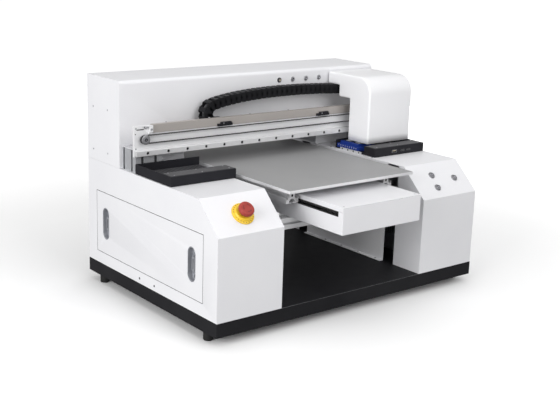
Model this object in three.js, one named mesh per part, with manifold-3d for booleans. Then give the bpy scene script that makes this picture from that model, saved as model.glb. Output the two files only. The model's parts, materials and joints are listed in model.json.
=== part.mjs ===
// Flatbed UV printer, 900 x 720 x 584 mm.
// Millimetres, +X to the right, +Y to the back, +Z up. The origin is at floor level, in the
// middle of the outer box. Two side covers leave a bay between them. A unit that carries the bed
// rises and sinks in that bay, and a head carriage runs on a rail in front of the rear hood.

import * as THREE from "three";
import { mergeVertices } from "three/addons/utils/BufferGeometryUtils.js";
import Module from "manifold-3d";

const wasm = await Module();
wasm.setup();

// ---------------------------------------------------------------- driving dimensions

const gap = 0.3;                // between two pieces that rest on each other
const sheet = 2;                // thickness of the folded sheet metal
const cutPast = 8;              // how far a hole's cutter reaches past a panel, each way

const width = 900;              // base, covers and hood
const depth = 630;              // base and covers
const boxReach = 90;            // how far the bed unit stands out in front of the base

const footHeight = 24;
const footRadius = 13;
const footInsetX = 17;          // foot centre from the side edge
const footInsetY = 58;          // foot centre from the front and back edges
const baseHeight = 37;
const basePadRadius = 16;       // pads inside the base that the feet are screwed to

const leftCoverWidth = 198;
const rightCoverWidth = 212;
const coverHeight = 291;
const coverFrontHeight = 212;   // upright part of the front
const slopeRun = 83.5;          // depth of the sloped panel, seen from above
const slotSetback = 103;        // front slot from the front of the cover
const slotWidth = 43;
const rearSlotSetback = 103;    // rear slot from the back of the cover
const rearSlotWidth = 39;
const flangeWidth = 12;         // screwed flange at the foot of the inner panels

const doorFrontInset = 60;
const doorBackInset = 47;
const doorFloor = 33;           // door opening above the base
const doorHeight = 175;
const doorSeam = 0.8;
const gripWidth = 34;
const gripHeight = 90;
const gripDepth = 15;
const gripInset = 50;           // grip centre from the door's front and back edges

const hoodDepth = 173;
const hoodHeight = 231.7;
const hoodEdge = 10;            // radius of the hood's upper front edge
const hoodMouthMargin = 5;      // hood mouth narrower than the bay, on each side
const hoodMouthHeight = 78;
const hoodButtonPitch = 50.3;
const hoodButtonFromRight = 217;
const hoodButtonDrop = 28.4;    // button centres below the hood top
const hoodButtonRadius = 4.5;
const hoodButtonProud = 4;
const hoodButtonStem = 10;      // behind the hood's front

const stopInset = 99;           // emergency stop centre from the cover's outer side
const stopUp = 54.6;            // up the slope from its lower edge
const stopRingRadius = 30;
const stopRingHeight = 3.5;
const stopHeadRadius = 20;
const stopStemRadius = 8;
const stopHeadLift = 15;        // underside of the head above the slope
const stopHeadHeight = 13;
const buttonRadius = 7.5;
const buttonProud = 5;
const buttonStem = 12;          // behind the sloped panel
const slopeButtons = [
  { inset: 131, up: 73.3 },
  { inset: 52, up: 53.7 },
  { inset: 135, up: 31.8 },
];

const postWidth = 80;
const postInset = 11;           // post from the outer side
const postTopAbove = 57;        // post top above the covers
const slotPitch = 40;           // one T-slot for each 40 mm of profile side
const tSlotWidth = 8.2;
const tSlotDepth = 10;

const plateInset = 2;           // gantry plate from the outer sides
const plateThickness = 7.7;
const plateSetback = 66.7;      // plate back face in front of the hood
const plateAbove = 43;          // plate bottom above the covers
const plateHeight = 80.7;
const beamDepth = 60;
const beamHeight = 30;
const railHeight = 15;
const railDepth = 13;
const railRise = 3;             // rail above the plate's lower edge

const pulleyInset = 29;         // pulley centre from the outer side
const pulleyRise = 46.5;        // pulley centre above the plate's lower edge
const pulleyRadius = 9.5;
const pulleyFlange = 12.5;
const pulleyFlangeWidth = 1.5;
const pulleyShaftRadius = 2.5;
const beltThickness = 1.5;
const beltWidth = 9;
const beltStandoff = 4;         // pulley from the plate
const xMotorSize = 42;
const xMotorLength = 47;

const troughMargin = 5;         // trough ends inside the beam ends
const troughDepth = 36;         // trough floor below its upper edge
const troughRearWall = 16;
const lipHeight = 22;
const chainHeight = 28;
const chainWidth = 34;
const chainLift = 1;            // chain above the trough floor
const chainBendRadius = 25;     // centre line
const chainBendX = -175;        // centre of the bend
const chainFixedX = 50;         // fixed end in the trough
const chainRiseAngle = 15;      // degrees, where the upper run leaves the bend
const chainLeadOut = 105;
const chainLeadIn = 150;
const chainEndRise = 64;        // centre of the moving end above the lower run
const chainLeadInRise = 12;
const chainOverlap = 18;        // moving end under the carriage arm

const trayHeight = 25.7;
const trayDepth = 172;
const trayWall = 3;
const trayPlatform = 47;
const trayOuterInset = 4;
const leftTrayOverhang = 5;
const rightTrayInset = 8;
const trayGap = 0.3;            // tray behind wall to the posts' line
const capInset = 2;
const capWidth = 84;
const capDepth = 92;
const capHeight = 20;
const capShelf = 12;            // height of the station's wide lower part
const capMarginLeft = 6;        // raised part inside the lower part
const capMarginRight = 20;
const capMarginEnds = 8;

const carriageWidth = 166;
const carriageInset = 14;       // from the outer side, at the right end of travel
const carriageReach = 114.3;    // cover front before the gantry plate
const carriageDepth = 83;       // lower part, front to back
const carriageHeight = 190;
const carriageClearance = 2;    // above the trays
const carriageEdge = 47;        // radius of the upper front edge
const carriageWall = 2.5;
const armRise = 125;            // underside of the arm above the cover's lower edge
const armStepDepth = 49;
const armStepRise = 34;
const armGapToHood = 7;
const carriageFloorRise = 4;
const carriageFloor = 5;
const backPlateThickness = 8;
const backPlateInset = 20;
const backPlateHeight = 115;
const guideLength = 80;
const guideHeight = 28;
const clampBelow = 3;           // belt clamp below and above the belt's upper run
const clampAbove = 2;
const headWidth = 52;
const headDepth = 60;
const headHeight = 60;
const headInset = 10;
const lampWidth = 56;
const lampHeight = 40;
const deviceDrop = 1;           // head and lamp below the cover's lower edge
const deviceSetback = 11;       // head and lamp behind the cover's front

const bayMarginBed = 29;        // bed plate to the covers, on each side
const bedLength = 540;
const bedThickness = 7.7;
const bedFrontSetback = 20;     // bed plate front behind the covers' front
const bedAboveCovers = 2;       // bed plate top above the covers
const profileSize = 40;
const profileSpacing = 330;
const profileInset = 51;        // profile ends inside the plate ends
const saddleThickness = 4;
const saddleLength = 300;
const saddleBlockWidth = 170;
const saddleBlockLength = 200;
const saddleBlockFloor = 4;

const boxWidth = 270;
const boxRearReach = 92.5;       // box behind the middle of the rear cross beam
const boxHeight = 70;
const lidHeight = 12.5;
const boxSlotHeight = 14;
const slotAboveSaddle = 6.8;    // upper edge of the side slots above the saddle
const boxSlotMargin = 18;       // posts left at the ends of the side slots
const yRailWidth = 15;
const yRailHeight = 14;
const yRailGauge = 120;
const yRailSetback = 10;        // rail ends inside the box's end walls

const crossBeam = 30;
const crossBeamReach = 78;      // cross beams into the covers
const carrierWidth = 40;
const carrierHeight = 20;
const liftInset = 48;           // lift screw inside the cover's inner face
const screwRadius = 6;
const screwHeadroom = 5;
const couplingRadius = 9;
const couplingHeight = 10;
const runningClearance = 0.4;
const liftMotorSize = 56;
const liftMotorHeight = 50;

const supplyWidth = 100;
const supplyLength = 215;
const supplyHeight = 50;
const supplyInset = 14;
const supplySetback = 130;
const inletWidth = 48;
const inletHeight = 28;
const inletDepth = 22;
const inletRise = 40;
const inletInset = 60;
const inletSideWall = 10;       // round the inlet's socket, which is open at the back
const inletWall = 4;

// ---------------------------------------------------------------- places that follow

const left = -width / 2;
const right = width / 2;
const boxFront = -(depth + boxReach) / 2;
const front = boxFront + boxReach;
const back = front + depth;
const baseTop = footHeight + baseHeight;
const deck = baseTop + gap;
const coverTop = baseTop + coverHeight;
const slopeFoot = baseTop + coverFrontHeight;
const slopeRise = coverTop - slopeFoot;
const leftInner = left + leftCoverWidth;
const rightInner = right - rightCoverWidth;
const bayCentre = (leftInner + rightInner) / 2;

const hoodFront = back - hoodDepth;
const hoodBottom = coverTop + gap;
const hoodTop = hoodBottom + hoodHeight;
const mouthLeft = leftInner + hoodMouthMargin;
const mouthRight = rightInner - hoodMouthMargin;
const mouthTop = coverTop + hoodMouthHeight;

const plateBack = hoodFront - plateSetback;
const plateFront = plateBack - plateThickness;
const plateBottom = coverTop + plateAbove;
const plateTop = plateBottom + plateHeight;
const postTop = coverTop + postTopAbove;
const postFront = plateBack + gap;
const pulleyX = right - pulleyInset;
const pulleyZ = plateBottom + pulleyRise;
const beltBack = plateFront - beltStandoff;
const beltFront = beltBack - beltWidth;
const beamHalf = pulleyX - xMotorSize / 2 - 2 * gap;
const troughHalf = beamHalf - troughMargin;
const troughTop = plateTop + gap + sheet;
const troughFloor = troughTop - troughDepth;
const troughFront = plateFront - gap - sheet;
const troughBack = hoodFront - gap - sheet;
const railFront = plateFront - gap - railDepth;
const railBottom = plateBottom + railRise;

const trayBack = plateFront - trayGap;
const trayFront = trayBack - trayDepth;
const trayTop = coverTop + gap + trayHeight;
const carriageBottom = trayTop + carriageClearance;
const carriageTop = carriageBottom + carriageHeight;
const carriageRight = right - carriageInset;
const carriageLeft = carriageRight - carriageWidth;
const carriageFront = plateFront - carriageReach;
const carriageBack = carriageFront + carriageDepth;
const armBottom = carriageBottom + armRise;
const armStepY = carriageBack + armStepDepth;

const bedTop = coverTop + bedAboveCovers;
const bedFront = front + bedFrontSetback;
const profileTop = bedTop - bedThickness - gap;
const profileBottom = profileTop - profileSize;
const saddleBottom = profileBottom - gap - saddleThickness;
const lidBottom = saddleBottom + saddleThickness + slotAboveSaddle;
const boxTop = lidBottom + lidHeight;
const boxBottom = boxTop - boxHeight;
const slotBottom = lidBottom - boxSlotHeight;
const bedMiddle = bedFront + bedLength / 2;
const crossTop = boxBottom - gap;
const crossBottom = crossTop - crossBeam;
const frontSlotMiddle = front + slotSetback + slotWidth / 2;
const rearSlotMiddle = back - rearSlotSetback - rearSlotWidth / 2;
const boxBack = rearSlotMiddle + boxRearReach;
const carrierTop = crossBottom - gap;
const liftMiddle = (frontSlotMiddle + rearSlotMiddle) / 2;
const liftX = { left: leftInner - liftInset, right: rightInner + liftInset };
const liftMotorTop = deck + liftMotorHeight;

// ---------------------------------------------------------------- shape helpers

const X = new THREE.Vector3(1, 0, 0);
const Y = new THREE.Vector3(0, 1, 0);
const Z = new THREE.Vector3(0, 0, 1);

/** A block between two values on each axis. */
function block(x0, x1, y0, y1, z0, z1) {
  const shape = new THREE.BoxGeometry(x1 - x0, y1 - y0, z1 - z0);
  return shape.translate((x0 + x1) / 2, (y0 + y1) / 2, (z0 + z1) / 2);
}

/** An outline in the YZ plane, carried along X. */
function alongX(outline, x0, x1) {
  const shape = new THREE.ExtrudeGeometry(outline, {
    depth: x1 - x0, bevelEnabled: false, curveSegments: 8,
  });
  return shape.applyMatrix4(new THREE.Matrix4().makeBasis(Y, Z, X)).translate(x0, 0, 0);
}

/** An outline in the XZ plane, carried along Y. */
function alongY(outline, y0, y1) {
  const shape = new THREE.ExtrudeGeometry(outline, {
    depth: y1 - y0, bevelEnabled: false, curveSegments: 10,
  });
  const turn = new THREE.Matrix4().makeBasis(X, Z, Y.clone().negate());
  return shape.applyMatrix4(turn).translate(0, y1, 0);
}

/** A closed outline through points given as [a, b] pairs. */
function polygon(points) {
  return new THREE.Shape(points.map(([a, b]) => new THREE.Vector2(a, b)));
}

/** A turned piece from [radius, height] pairs, its axis on Z. */
function turned(profile, sides = 24) {
  const points = profile.map(([radius, height]) => new THREE.Vector2(radius, height));
  const shape = new THREE.LatheGeometry(points, sides);
  return shape.rotateX(Math.PI / 2);
}

/** A plain rod on Z, from z0 to z1. */
function rod(radius, z0, z1, sides = 20) {
  return turned([[0, z0], [radius, z0], [radius, z1], [0, z1]], sides);
}

/** A turned piece laid down so that its top faces the front, with its zero level at y. */
function facingFront(shape, x, y, z) {
  return shape.rotateX(Math.PI / 2).translate(x, y, z);
}

/** An obround outline, upright, centred on (a, b). */
function obround(a, b, across, tall) {
  const radius = across / 2;
  const straight = tall / 2 - radius;
  const outline = new THREE.Shape();
  outline.moveTo(a + radius, b - straight);
  outline.lineTo(a + radius, b + straight);
  outline.absarc(a, b + straight, radius, 0, Math.PI, false);
  outline.lineTo(a - radius, b - straight);
  outline.absarc(a, b - straight, radius, Math.PI, 2 * Math.PI, false);
  return outline;
}

/** Turns a closed geometry into a solid that can be cut and joined. */
function solid(geometry) {
  const bare = geometry.clone();
  for (const name of ["normal", "uv"]) {
    bare.deleteAttribute(name);
  }
  const merged = mergeVertices(bare, 1e-4);
  return new wasm.Manifold(new wasm.Mesh({
    numProp: 3,
    vertProperties: new Float32Array(merged.attributes.position.array),
    triVerts: new Uint32Array(merged.index.array),
  }));
}

/** Turns a solid back into a geometry. */
function geometryOf(body) {
  const mesh = body.getMesh();
  const geometry = new THREE.BufferGeometry();
  geometry.setAttribute("position", new THREE.BufferAttribute(mesh.vertProperties, 3));
  geometry.setIndex(new THREE.BufferAttribute(mesh.triVerts, 1));
  return geometry;
}

/** Joins several geometries into one. */
function join(first, ...others) {
  return geometryOf(others.reduce((body, other) => body.add(solid(other)), solid(first)));
}

/** Cuts several geometries out of the first. */
function cut(first, ...others) {
  return geometryOf(others.reduce((body, other) => body.subtract(solid(other)), solid(first)));
}

// ---------------------------------------------------------------- finishes and the tree

const finishes = {
  whiteSheet: { color: 0xe9e9ee, roughness: 0.55, metalness: 0.0 },
  whitePlastic: { color: 0xf0f0f3, roughness: 0.4, metalness: 0.0 },
  blackSheet: { color: 0x1c1c20, roughness: 0.6, metalness: 0.0 },
  blackPlastic: { color: 0x141416, roughness: 0.5, metalness: 0.0 },
  rubber: { color: 0x101012, roughness: 0.9, metalness: 0.0 },
  aluminium: { color: 0xb9bdc0, roughness: 0.35, metalness: 1.0 },
  steel: { color: 0x9c9da0, roughness: 0.25, metalness: 1.0 },
  bedPlate: { color: 0x8f9092, roughness: 0.5, metalness: 0.8 },
  bronzeGrey: { color: 0x827a74, roughness: 0.5, metalness: 0.6 },
  red: { color: 0xb02a28, roughness: 0.4, metalness: 0.0 },
  yellow: { color: 0xe6b21e, roughness: 0.45, metalness: 0.0 },
  blue: { color: 0x1e3c96, roughness: 0.4, metalness: 0.0 },
};

const printer = new THREE.Group();

/** Adds one named piece with its own material to a parent. */
function piece(parent, name, geometry, finish) {
  geometry.computeVertexNormals();
  const mesh = new THREE.Mesh(geometry, new THREE.MeshStandardMaterial(finishes[finish]));
  mesh.name = name;
  parent.add(mesh);
  return mesh;
}

/** A square or oblong T-slot profile on any axis: grooves are cut along all four sides. */
function slottedProfile(axis, x0, x1, y0, y1, z0, z1) {
  const low = { X: x0, Y: y0, Z: z0 };
  const high = { X: x1, Y: y1, Z: z1 };
  const cuts = [];
  for (const across of ["X", "Y", "Z"].filter((name) => name !== axis)) {
    const facing = ["X", "Y", "Z"].find((name) => name !== axis && name !== across);
    const side = high[across] - low[across];
    const count = Math.max(1, Math.round(side / slotPitch));
    for (let index = 0; index < count; index += 1) {
      const middle = low[across] + (side * (index + 0.5)) / count;
      for (const end of [0, 1]) {
        const from = { ...low };
        const to = { ...high };
        from[axis] -= 1;
        to[axis] += 1;
        from[across] = middle - tSlotWidth / 2;
        to[across] = middle + tSlotWidth / 2;
        from[facing] = end ? high[facing] - tSlotDepth : low[facing] - 1;
        to[facing] = end ? high[facing] + 1 : low[facing] + tSlotDepth;
        cuts.push(block(from.X, to.X, from.Y, to.Y, from.Z, to.Z));
      }
    }
  }
  return cut(block(x0, x1, y0, y1, z0, z1), ...cuts);
}

/** The two sides of the machine: outer face, inner face and the way outwards. */
const sides = [
  { name: "left", out: -1, outer: left, inner: leftInner, lift: liftX.left },
  { name: "right", out: 1, outer: right, inner: rightInner, lift: liftX.right },
];

/** A range on X from a side's outer face inwards, in rising order. */
function inward(side, from, to) {
  const a = side.outer - side.out * from;
  const b = side.outer - side.out * to;
  return [Math.min(a, b), Math.max(a, b)];
}

// ---------------------------------------------------------------- base and feet

function addBase() {
  const pads = [];
  for (const x of [left + footInsetX, right - footInsetX]) {
    for (const y of [front + footInsetY, back - footInsetY]) {
      pads.push(rod(basePadRadius, footHeight, baseTop - sheet / 2).translate(x, y, 0));
    }
  }
  const pan = cut(
    block(left, right, front, back, footHeight, baseTop),
    block(left + sheet, right - sheet, front + sheet, back - sheet, 0, baseTop - sheet),
  );
  piece(printer, "base_tray", join(pan, ...pads), "blackSheet");

  for (const [sideName, x] of [["left", left + footInsetX], ["right", right - footInsetX]]) {
    for (const [endName, y] of [["front", front + footInsetY], ["back", back - footInsetY]]) {
      const top = footHeight - gap;
      const foot = turned([
        [0, 0], [footRadius - 2, 0], [footRadius, 2], [footRadius, top], [0, top],
      ]);
      piece(printer, `foot_${endName}_${sideName}`, foot, "rubber").position.set(x, y, 0);
    }
  }
}

// ---------------------------------------------------------------- side covers

/** Side view of a cover, drawn in from the true outline by a margin; the foot stays at low. */
function coverOutline(margin, low) {
  const steepness = slopeRise / slopeRun;
  const drop = margin * Math.hypot(1, steepness);
  const shoulder = front + (slopeRise - margin + drop) / steepness;
  return polygon([
    [front + margin, low],
    [back - margin, low],
    [back - margin, coverTop - margin],
    [shoulder, coverTop - margin],
    [front + margin, slopeFoot + margin * steepness - drop],
  ]);
}

/** The frame of the sloped panels: X across, Y up the slope, Z out of the panel. */
const slopeLength = Math.hypot(slopeRun, slopeRise);
const upSlope = new THREE.Vector3(0, slopeRun, slopeRise).divideScalar(slopeLength);
const outOfSlope = new THREE.Vector3(0, -slopeRise, slopeRun).divideScalar(slopeLength);
const slopeFrame = new THREE.Matrix4().makeBasis(X, upSlope, outOfSlope);
slopeFrame.setPosition(0, front, slopeFoot);

/** A round hole through a sloped panel. */
function slopeHole(x, up, radius) {
  return rod(radius, -cutPast, cutPast).translate(x, up, 0).applyMatrix4(slopeFrame);
}

const doorFront = front + doorFrontInset;
const doorBack = back - doorBackInset;
const doorBottom = baseTop + doorFloor;
const doorTop = doorBottom + doorHeight;
const inletX = left + inletInset;
const inletZ = baseTop + inletRise;

function addCover(side) {
  const [x0, x1] = [Math.min(side.outer, side.inner), Math.max(side.outer, side.inner)];
  const cuts = [
    alongX(coverOutline(sheet, 0), x0 + sheet, x1 - sheet),
    block(side.inner - sheet - 1, side.inner + sheet + 1,
      front + slotSetback, back - rearSlotSetback, 0, coverTop - sheet),
    block(...inward(side, -1, sheet + 1), doorFront, doorBack, doorBottom, doorTop),
    block(...inward(side, postInset - gap, postInset + postWidth + gap),
      postFront - gap, postFront + postWidth + gap, coverTop - sheet - 1, coverTop + 1),
  ];
  if (side.name === "left") {
    cuts.push(slopeHole(left + stopInset, stopUp, stopStemRadius + runningClearance));
    cuts.push(block(inletX - inletWidth / 2 - gap, inletX + inletWidth / 2 + gap,
      back - sheet - 1, back + 1,
      inletZ - inletHeight / 2 - gap, inletZ + inletHeight / 2 + gap));
  } else {
    for (const { inset, up } of slopeButtons) {
      cuts.push(slopeHole(right - inset, up, buttonRadius + runningClearance));
    }
  }
  const shell = cut(alongX(coverOutline(0, deck), x0, x1), ...cuts);
  piece(printer, `${side.name}_cover`, shell, "whiteSheet");

  const wall = [side.inner, side.inner + side.out * sheet].sort((a, b) => a - b);
  const flange = [side.inner + side.out * sheet, side.inner - side.out * flangeWidth];
  flange.sort((a, b) => a - b);
  const y0 = front + slotSetback + slotWidth;
  const y1 = back - rearSlotSetback - rearSlotWidth;
  const panel = join(
    block(...wall, y0, y1, deck, coverTop - sheet - gap),
    block(...flange, y0, y1, deck, deck + sheet),
  );
  piece(printer, `${side.name}_inner_panel`, panel, "whiteSheet");
}

function addDoor(side) {
  const y0 = doorFront + doorSeam;
  const y1 = doorBack - doorSeam;
  const z0 = doorBottom + doorSeam;
  const z1 = doorTop - doorSeam;
  const middle = (z0 + z1) / 2;
  const cups = [];
  const pockets = [];
  for (const y of [doorFront + gripInset, doorBack - gripInset]) {
    const rim = 2 * sheet;
    cups.push(alongX(obround(y, middle, gripWidth + rim, gripHeight + rim),
      ...inward(side, sheet / 2, gripDepth + sheet)));
    pockets.push(alongX(obround(y, middle, gripWidth, gripHeight), ...inward(side, -1, gripDepth)));
  }
  const plate = join(block(...inward(side, 0, sheet), y0, y1, z0, z1), ...cups);
  piece(printer, `${side.name}_door`, cut(plate, ...pockets), "whiteSheet");
}

// ---------------------------------------------------------------- buttons on the slopes

function addSlopeControls() {
  const panel = new THREE.Group();
  panel.applyMatrix4(slopeFrame);
  printer.add(panel);

  const stem = stopStemRadius + runningClearance;
  const ring = turned([
    [stem, gap], [stopRingRadius, gap], [stopRingRadius, stopRingHeight - 1],
    [stopRingRadius - 1, stopRingHeight], [stem + 4, stopRingHeight],
    [stem + 4, stopRingHeight + 5],
    [stem, stopRingHeight + 5], [stem, gap],
  ], 40);
  piece(panel, "stop_ring", ring, "yellow").position.set(left + stopInset, stopUp, 0);

  const top = stopHeadLift + stopHeadHeight;
  const head = turned([
    [0, -buttonStem], [stopStemRadius, -buttonStem], [stopStemRadius, stopHeadLift],
    [stopHeadRadius - 3, stopHeadLift], [stopHeadRadius, stopHeadLift + 3],
    [stopHeadRadius, top - 5], [stopHeadRadius - 2, top - 2], [stopHeadRadius - 6, top], [0, top],
  ], 32);
  piece(panel, "stop_head", head, "red").position.set(left + stopInset, stopUp, 0);

  slopeButtons.forEach(({ inset, up }, index) => {
    const plunger = turned([
      [0, -buttonStem], [buttonRadius, -buttonStem], [buttonRadius, buttonProud - 1],
      [buttonRadius - 1, buttonProud], [0, buttonProud],
    ]);
    const mesh = piece(panel, `slope_button_${index + 1}`, plunger, "steel");
    mesh.position.set(right - inset, up, 0);
  });
}

// ---------------------------------------------------------------- hood

/** Side view of the hood, drawn in by a margin at the front and the top. */
function hoodOutline(margin, low, rear) {
  const radius = hoodEdge - margin;
  const outline = new THREE.Shape();
  outline.moveTo(hoodFront + margin, low);
  outline.lineTo(rear, low);
  outline.lineTo(rear, hoodTop - margin);
  outline.lineTo(hoodFront + hoodEdge, hoodTop - margin);
  outline.absarc(hoodFront + hoodEdge, hoodTop - hoodEdge, radius, Math.PI / 2, Math.PI, false);
  return outline;
}

function hoodButtonX(index) {
  return right - hoodButtonFromRight - (3 - index) * hoodButtonPitch;
}

const hoodButtonZ = hoodTop - hoodButtonDrop;

function addHood() {
  const holes = [];
  for (let index = 0; index < 4; index += 1) {
    const hole = rod(hoodButtonRadius + runningClearance, -cutPast, cutPast);
    holes.push(facingFront(hole, hoodButtonX(index), hoodFront, hoodButtonZ));
  }
  const notches = sides.map((side) => block(
    ...inward(side, postInset - gap, postInset + postWidth + gap),
    hoodFront - 1, hoodFront + sheet + 1, hoodBottom - 1, postTop + gap,
  ));
  const shell = cut(
    alongX(hoodOutline(0, hoodBottom, back), left, right),
    alongX(hoodOutline(sheet, hoodBottom - 1, back + 1), left + sheet, right - sheet),
    block(mouthLeft, mouthRight, hoodFront - 1, hoodFront + sheet + 1, hoodBottom - 1, mouthTop),
    ...notches,
    ...holes,
  );
  piece(printer, "hood_shell", shell, "whiteSheet");

  const rear = cut(
    block(left + sheet + gap, right - sheet - gap, back - sheet, back,
      hoodBottom, hoodTop - sheet - gap),
    block(mouthLeft, mouthRight, back - sheet - 1, back + 1, hoodBottom - 1, mouthTop),
  );
  piece(printer, "hood_back_panel", rear, "whiteSheet");

  for (let index = 0; index < 4; index += 1) {
    const plunger = turned([
      [0, -hoodButtonStem], [hoodButtonRadius, -hoodButtonStem],
      [hoodButtonRadius, hoodButtonProud - 1],
      [hoodButtonRadius - 1, hoodButtonProud], [0, hoodButtonProud],
    ], 16);
    const mesh = piece(printer, `hood_button_${index + 1}`, plunger.rotateX(Math.PI / 2), "steel");
    mesh.position.set(hoodButtonX(index), hoodFront, hoodButtonZ);
  }
}

// ---------------------------------------------------------------- gantry

function addGantry() {
  for (const side of sides) {
    const [x0, x1] = inward(side, postInset, postInset + postWidth);
    const post = slottedProfile("Z", x0, x1, postFront, postFront + postWidth, deck, postTop);
    piece(printer, `${side.name}_post`, post, "aluminium");
  }
  const beam = slottedProfile("X", -beamHalf, beamHalf, postFront, postFront + beamDepth,
    postTop + gap, postTop + gap + beamHeight);
  piece(printer, "gantry_beam", beam, "aluminium");

  const shaftHoles = [-pulleyX, pulleyX].map((x) => {
    const hole = rod(pulleyShaftRadius + runningClearance, -plateThickness - 1, 1);
    return facingFront(hole, x, plateFront, pulleyZ);
  });
  const plate = cut(
    block(left + plateInset, right - plateInset, plateFront, plateBack, plateBottom, plateTop),
    ...shaftHoles,
  );
  piece(printer, "gantry_plate", plate, "aluminium");

  const rail = block(left + plateInset, right - plateInset, railFront, plateFront - gap,
    railBottom, railBottom + railHeight);
  piece(printer, "x_rail", rail, "steel");

  const wall = postFront + sheet;
  const trough = polygon([
    [troughFront, troughTop - lipHeight],
    [troughFront + sheet, troughTop - lipHeight],
    [troughFront + sheet, troughTop - sheet],
    [postFront, troughTop - sheet],
    [postFront, troughFloor],
    [troughBack, troughFloor],
    [troughBack, troughFloor + troughRearWall],
    [troughBack - sheet, troughFloor + troughRearWall],
    [troughBack - sheet, troughFloor + sheet],
    [wall, troughFloor + sheet],
    [wall, troughTop],
    [troughFront, troughTop],
  ]);
  piece(printer, "chain_trough", alongX(trough, -troughHalf, troughHalf), "bronzeGrey");
}

/** A belt pulley with two flanges and a stub shaft, its axis on Z before it is turned. */
function pulleyShape() {
  const reach = beltWidth + 2 * pulleyFlangeWidth;
  const behind = beltStandoff - pulleyFlangeWidth + plateThickness - gap;
  return turned([
    [0, -behind], [pulleyShaftRadius, -behind], [pulleyShaftRadius, 0], [pulleyFlange, 0],
    [pulleyFlange, pulleyFlangeWidth], [pulleyRadius, pulleyFlangeWidth],
    [pulleyRadius, reach - pulleyFlangeWidth], [pulleyFlange, reach - pulleyFlangeWidth],
    [pulleyFlange, reach], [0, reach],
  ]).rotateX(Math.PI / 2);
}

/** A stadium outline around both pulleys. */
function beltOutline(radius) {
  const outline = new THREE.Shape();
  outline.moveTo(-pulleyX, pulleyZ - radius);
  outline.lineTo(pulleyX, pulleyZ - radius);
  outline.absarc(pulleyX, pulleyZ, radius, -Math.PI / 2, Math.PI / 2, false);
  outline.lineTo(-pulleyX, pulleyZ + radius);
  outline.absarc(-pulleyX, pulleyZ, radius, Math.PI / 2, 1.5 * Math.PI, false);
  return outline;
}

function addBeltDrive() {
  for (const side of sides) {
    const mesh = piece(printer, `${side.name}_pulley`, pulleyShape(), "steel");
    mesh.position.set(side.out * pulleyX, beltBack + pulleyFlangeWidth, pulleyZ);
  }
  const inner = pulleyRadius + gap;
  const edge = 2 * gap;
  const belt = cut(
    alongY(beltOutline(inner + beltThickness), beltFront + edge, beltBack - edge),
    alongY(beltOutline(inner), beltFront - 1, beltBack + 1),
  );
  piece(printer, "x_belt", belt, "rubber");

  const half = xMotorSize / 2;
  const motor = block(pulleyX - half, pulleyX + half, plateBack + gap,
    plateBack + gap + xMotorLength, pulleyZ - half, pulleyZ + half);
  piece(printer, "x_motor", motor, "blackSheet");
}

// ---------------------------------------------------------------- cable chain

function addChain() {
  const low = troughFloor + sheet + chainLift + chainHeight / 2;
  const bend = new THREE.Vector2(chainBendX, low + chainBendRadius);
  const lean = THREE.MathUtils.degToRad(chainRiseAngle);
  const path = new THREE.CurvePath();
  path.add(new THREE.LineCurve(
    new THREE.Vector2(chainFixedX, low), new THREE.Vector2(chainBendX, low),
  ));
  path.add(new THREE.EllipseCurve(bend.x, bend.y, chainBendRadius, chainBendRadius,
    1.5 * Math.PI, Math.PI / 2 + lean, true));
  const start = new THREE.Vector2(
    bend.x - chainBendRadius * Math.sin(lean), bend.y + chainBendRadius * Math.cos(lean),
  );
  const end = new THREE.Vector2(carriageLeft + chainOverlap, low + chainEndRise);
  path.add(new THREE.CubicBezierCurve(
    start,
    new THREE.Vector2(
      start.x + chainLeadOut * Math.cos(lean), start.y + chainLeadOut * Math.sin(lean),
    ),
    new THREE.Vector2(end.x - chainLeadIn, end.y + chainLeadInRise),
    end,
  ));
  const upper = [];
  const lower = [];
  for (const [curve, steps] of [[path.curves[0], 1], [path.curves[1], 12], [path.curves[2], 24]]) {
    for (let index = upper.length ? 1 : 0; index <= steps; index += 1) {
      const point = curve.getPoint(index / steps);
      const ahead = curve.getTangent(index / steps);
      const aside = new THREE.Vector2(-ahead.y, ahead.x).multiplyScalar(chainHeight / 2);
      upper.push(point.clone().add(aside));
      lower.unshift(point.clone().sub(aside));
    }
  }
  const middle = (postFront + sheet + troughBack - sheet) / 2;
  const chain = alongY(new THREE.Shape([...upper, ...lower]),
    middle - chainWidth / 2, middle + chainWidth / 2);
  piece(printer, "cable_chain", chain, "blackPlastic");
}

// ---------------------------------------------------------------- trays and capping station

function addTray(name, x0, x1, openSide) {
  const z0 = coverTop + gap;
  const wellLeft = openSide < 0 ? x0 - 1 : x0 + trayWall;
  const wellRight = openSide > 0 ? x1 + 1 : x1 - trayWall;
  const well = block(wellLeft, wellRight, trayFront + trayPlatform, trayBack - trayWall,
    z0 + trayWall, trayTop + 1);
  piece(printer, name, cut(block(x0, x1, trayFront, trayBack, z0, trayTop), well), "blackPlastic");
}

function addTrays() {
  addTray("left_tray", left + trayOuterInset, leftInner + leftTrayOverhang, 1);
  const trayLeft = rightInner + rightTrayInset;
  addTray("right_tray", trayLeft, right - trayOuterInset, -1);
  const x0 = trayLeft + capInset;
  const y1 = trayBack - trayWall - gap - capInset;
  const z0 = coverTop + gap + trayWall + gap;
  const station = join(
    block(x0, x0 + capWidth, y1 - capDepth, y1, z0, z0 + capShelf),
    block(x0 + capMarginLeft, x0 + capWidth - capMarginRight, y1 - capDepth + capMarginEnds,
      y1 - capMarginEnds, z0 + 1, z0 + capHeight),
  );
  piece(printer, "cap_station", station, "blue");
}

// ---------------------------------------------------------------- head carriage

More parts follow.
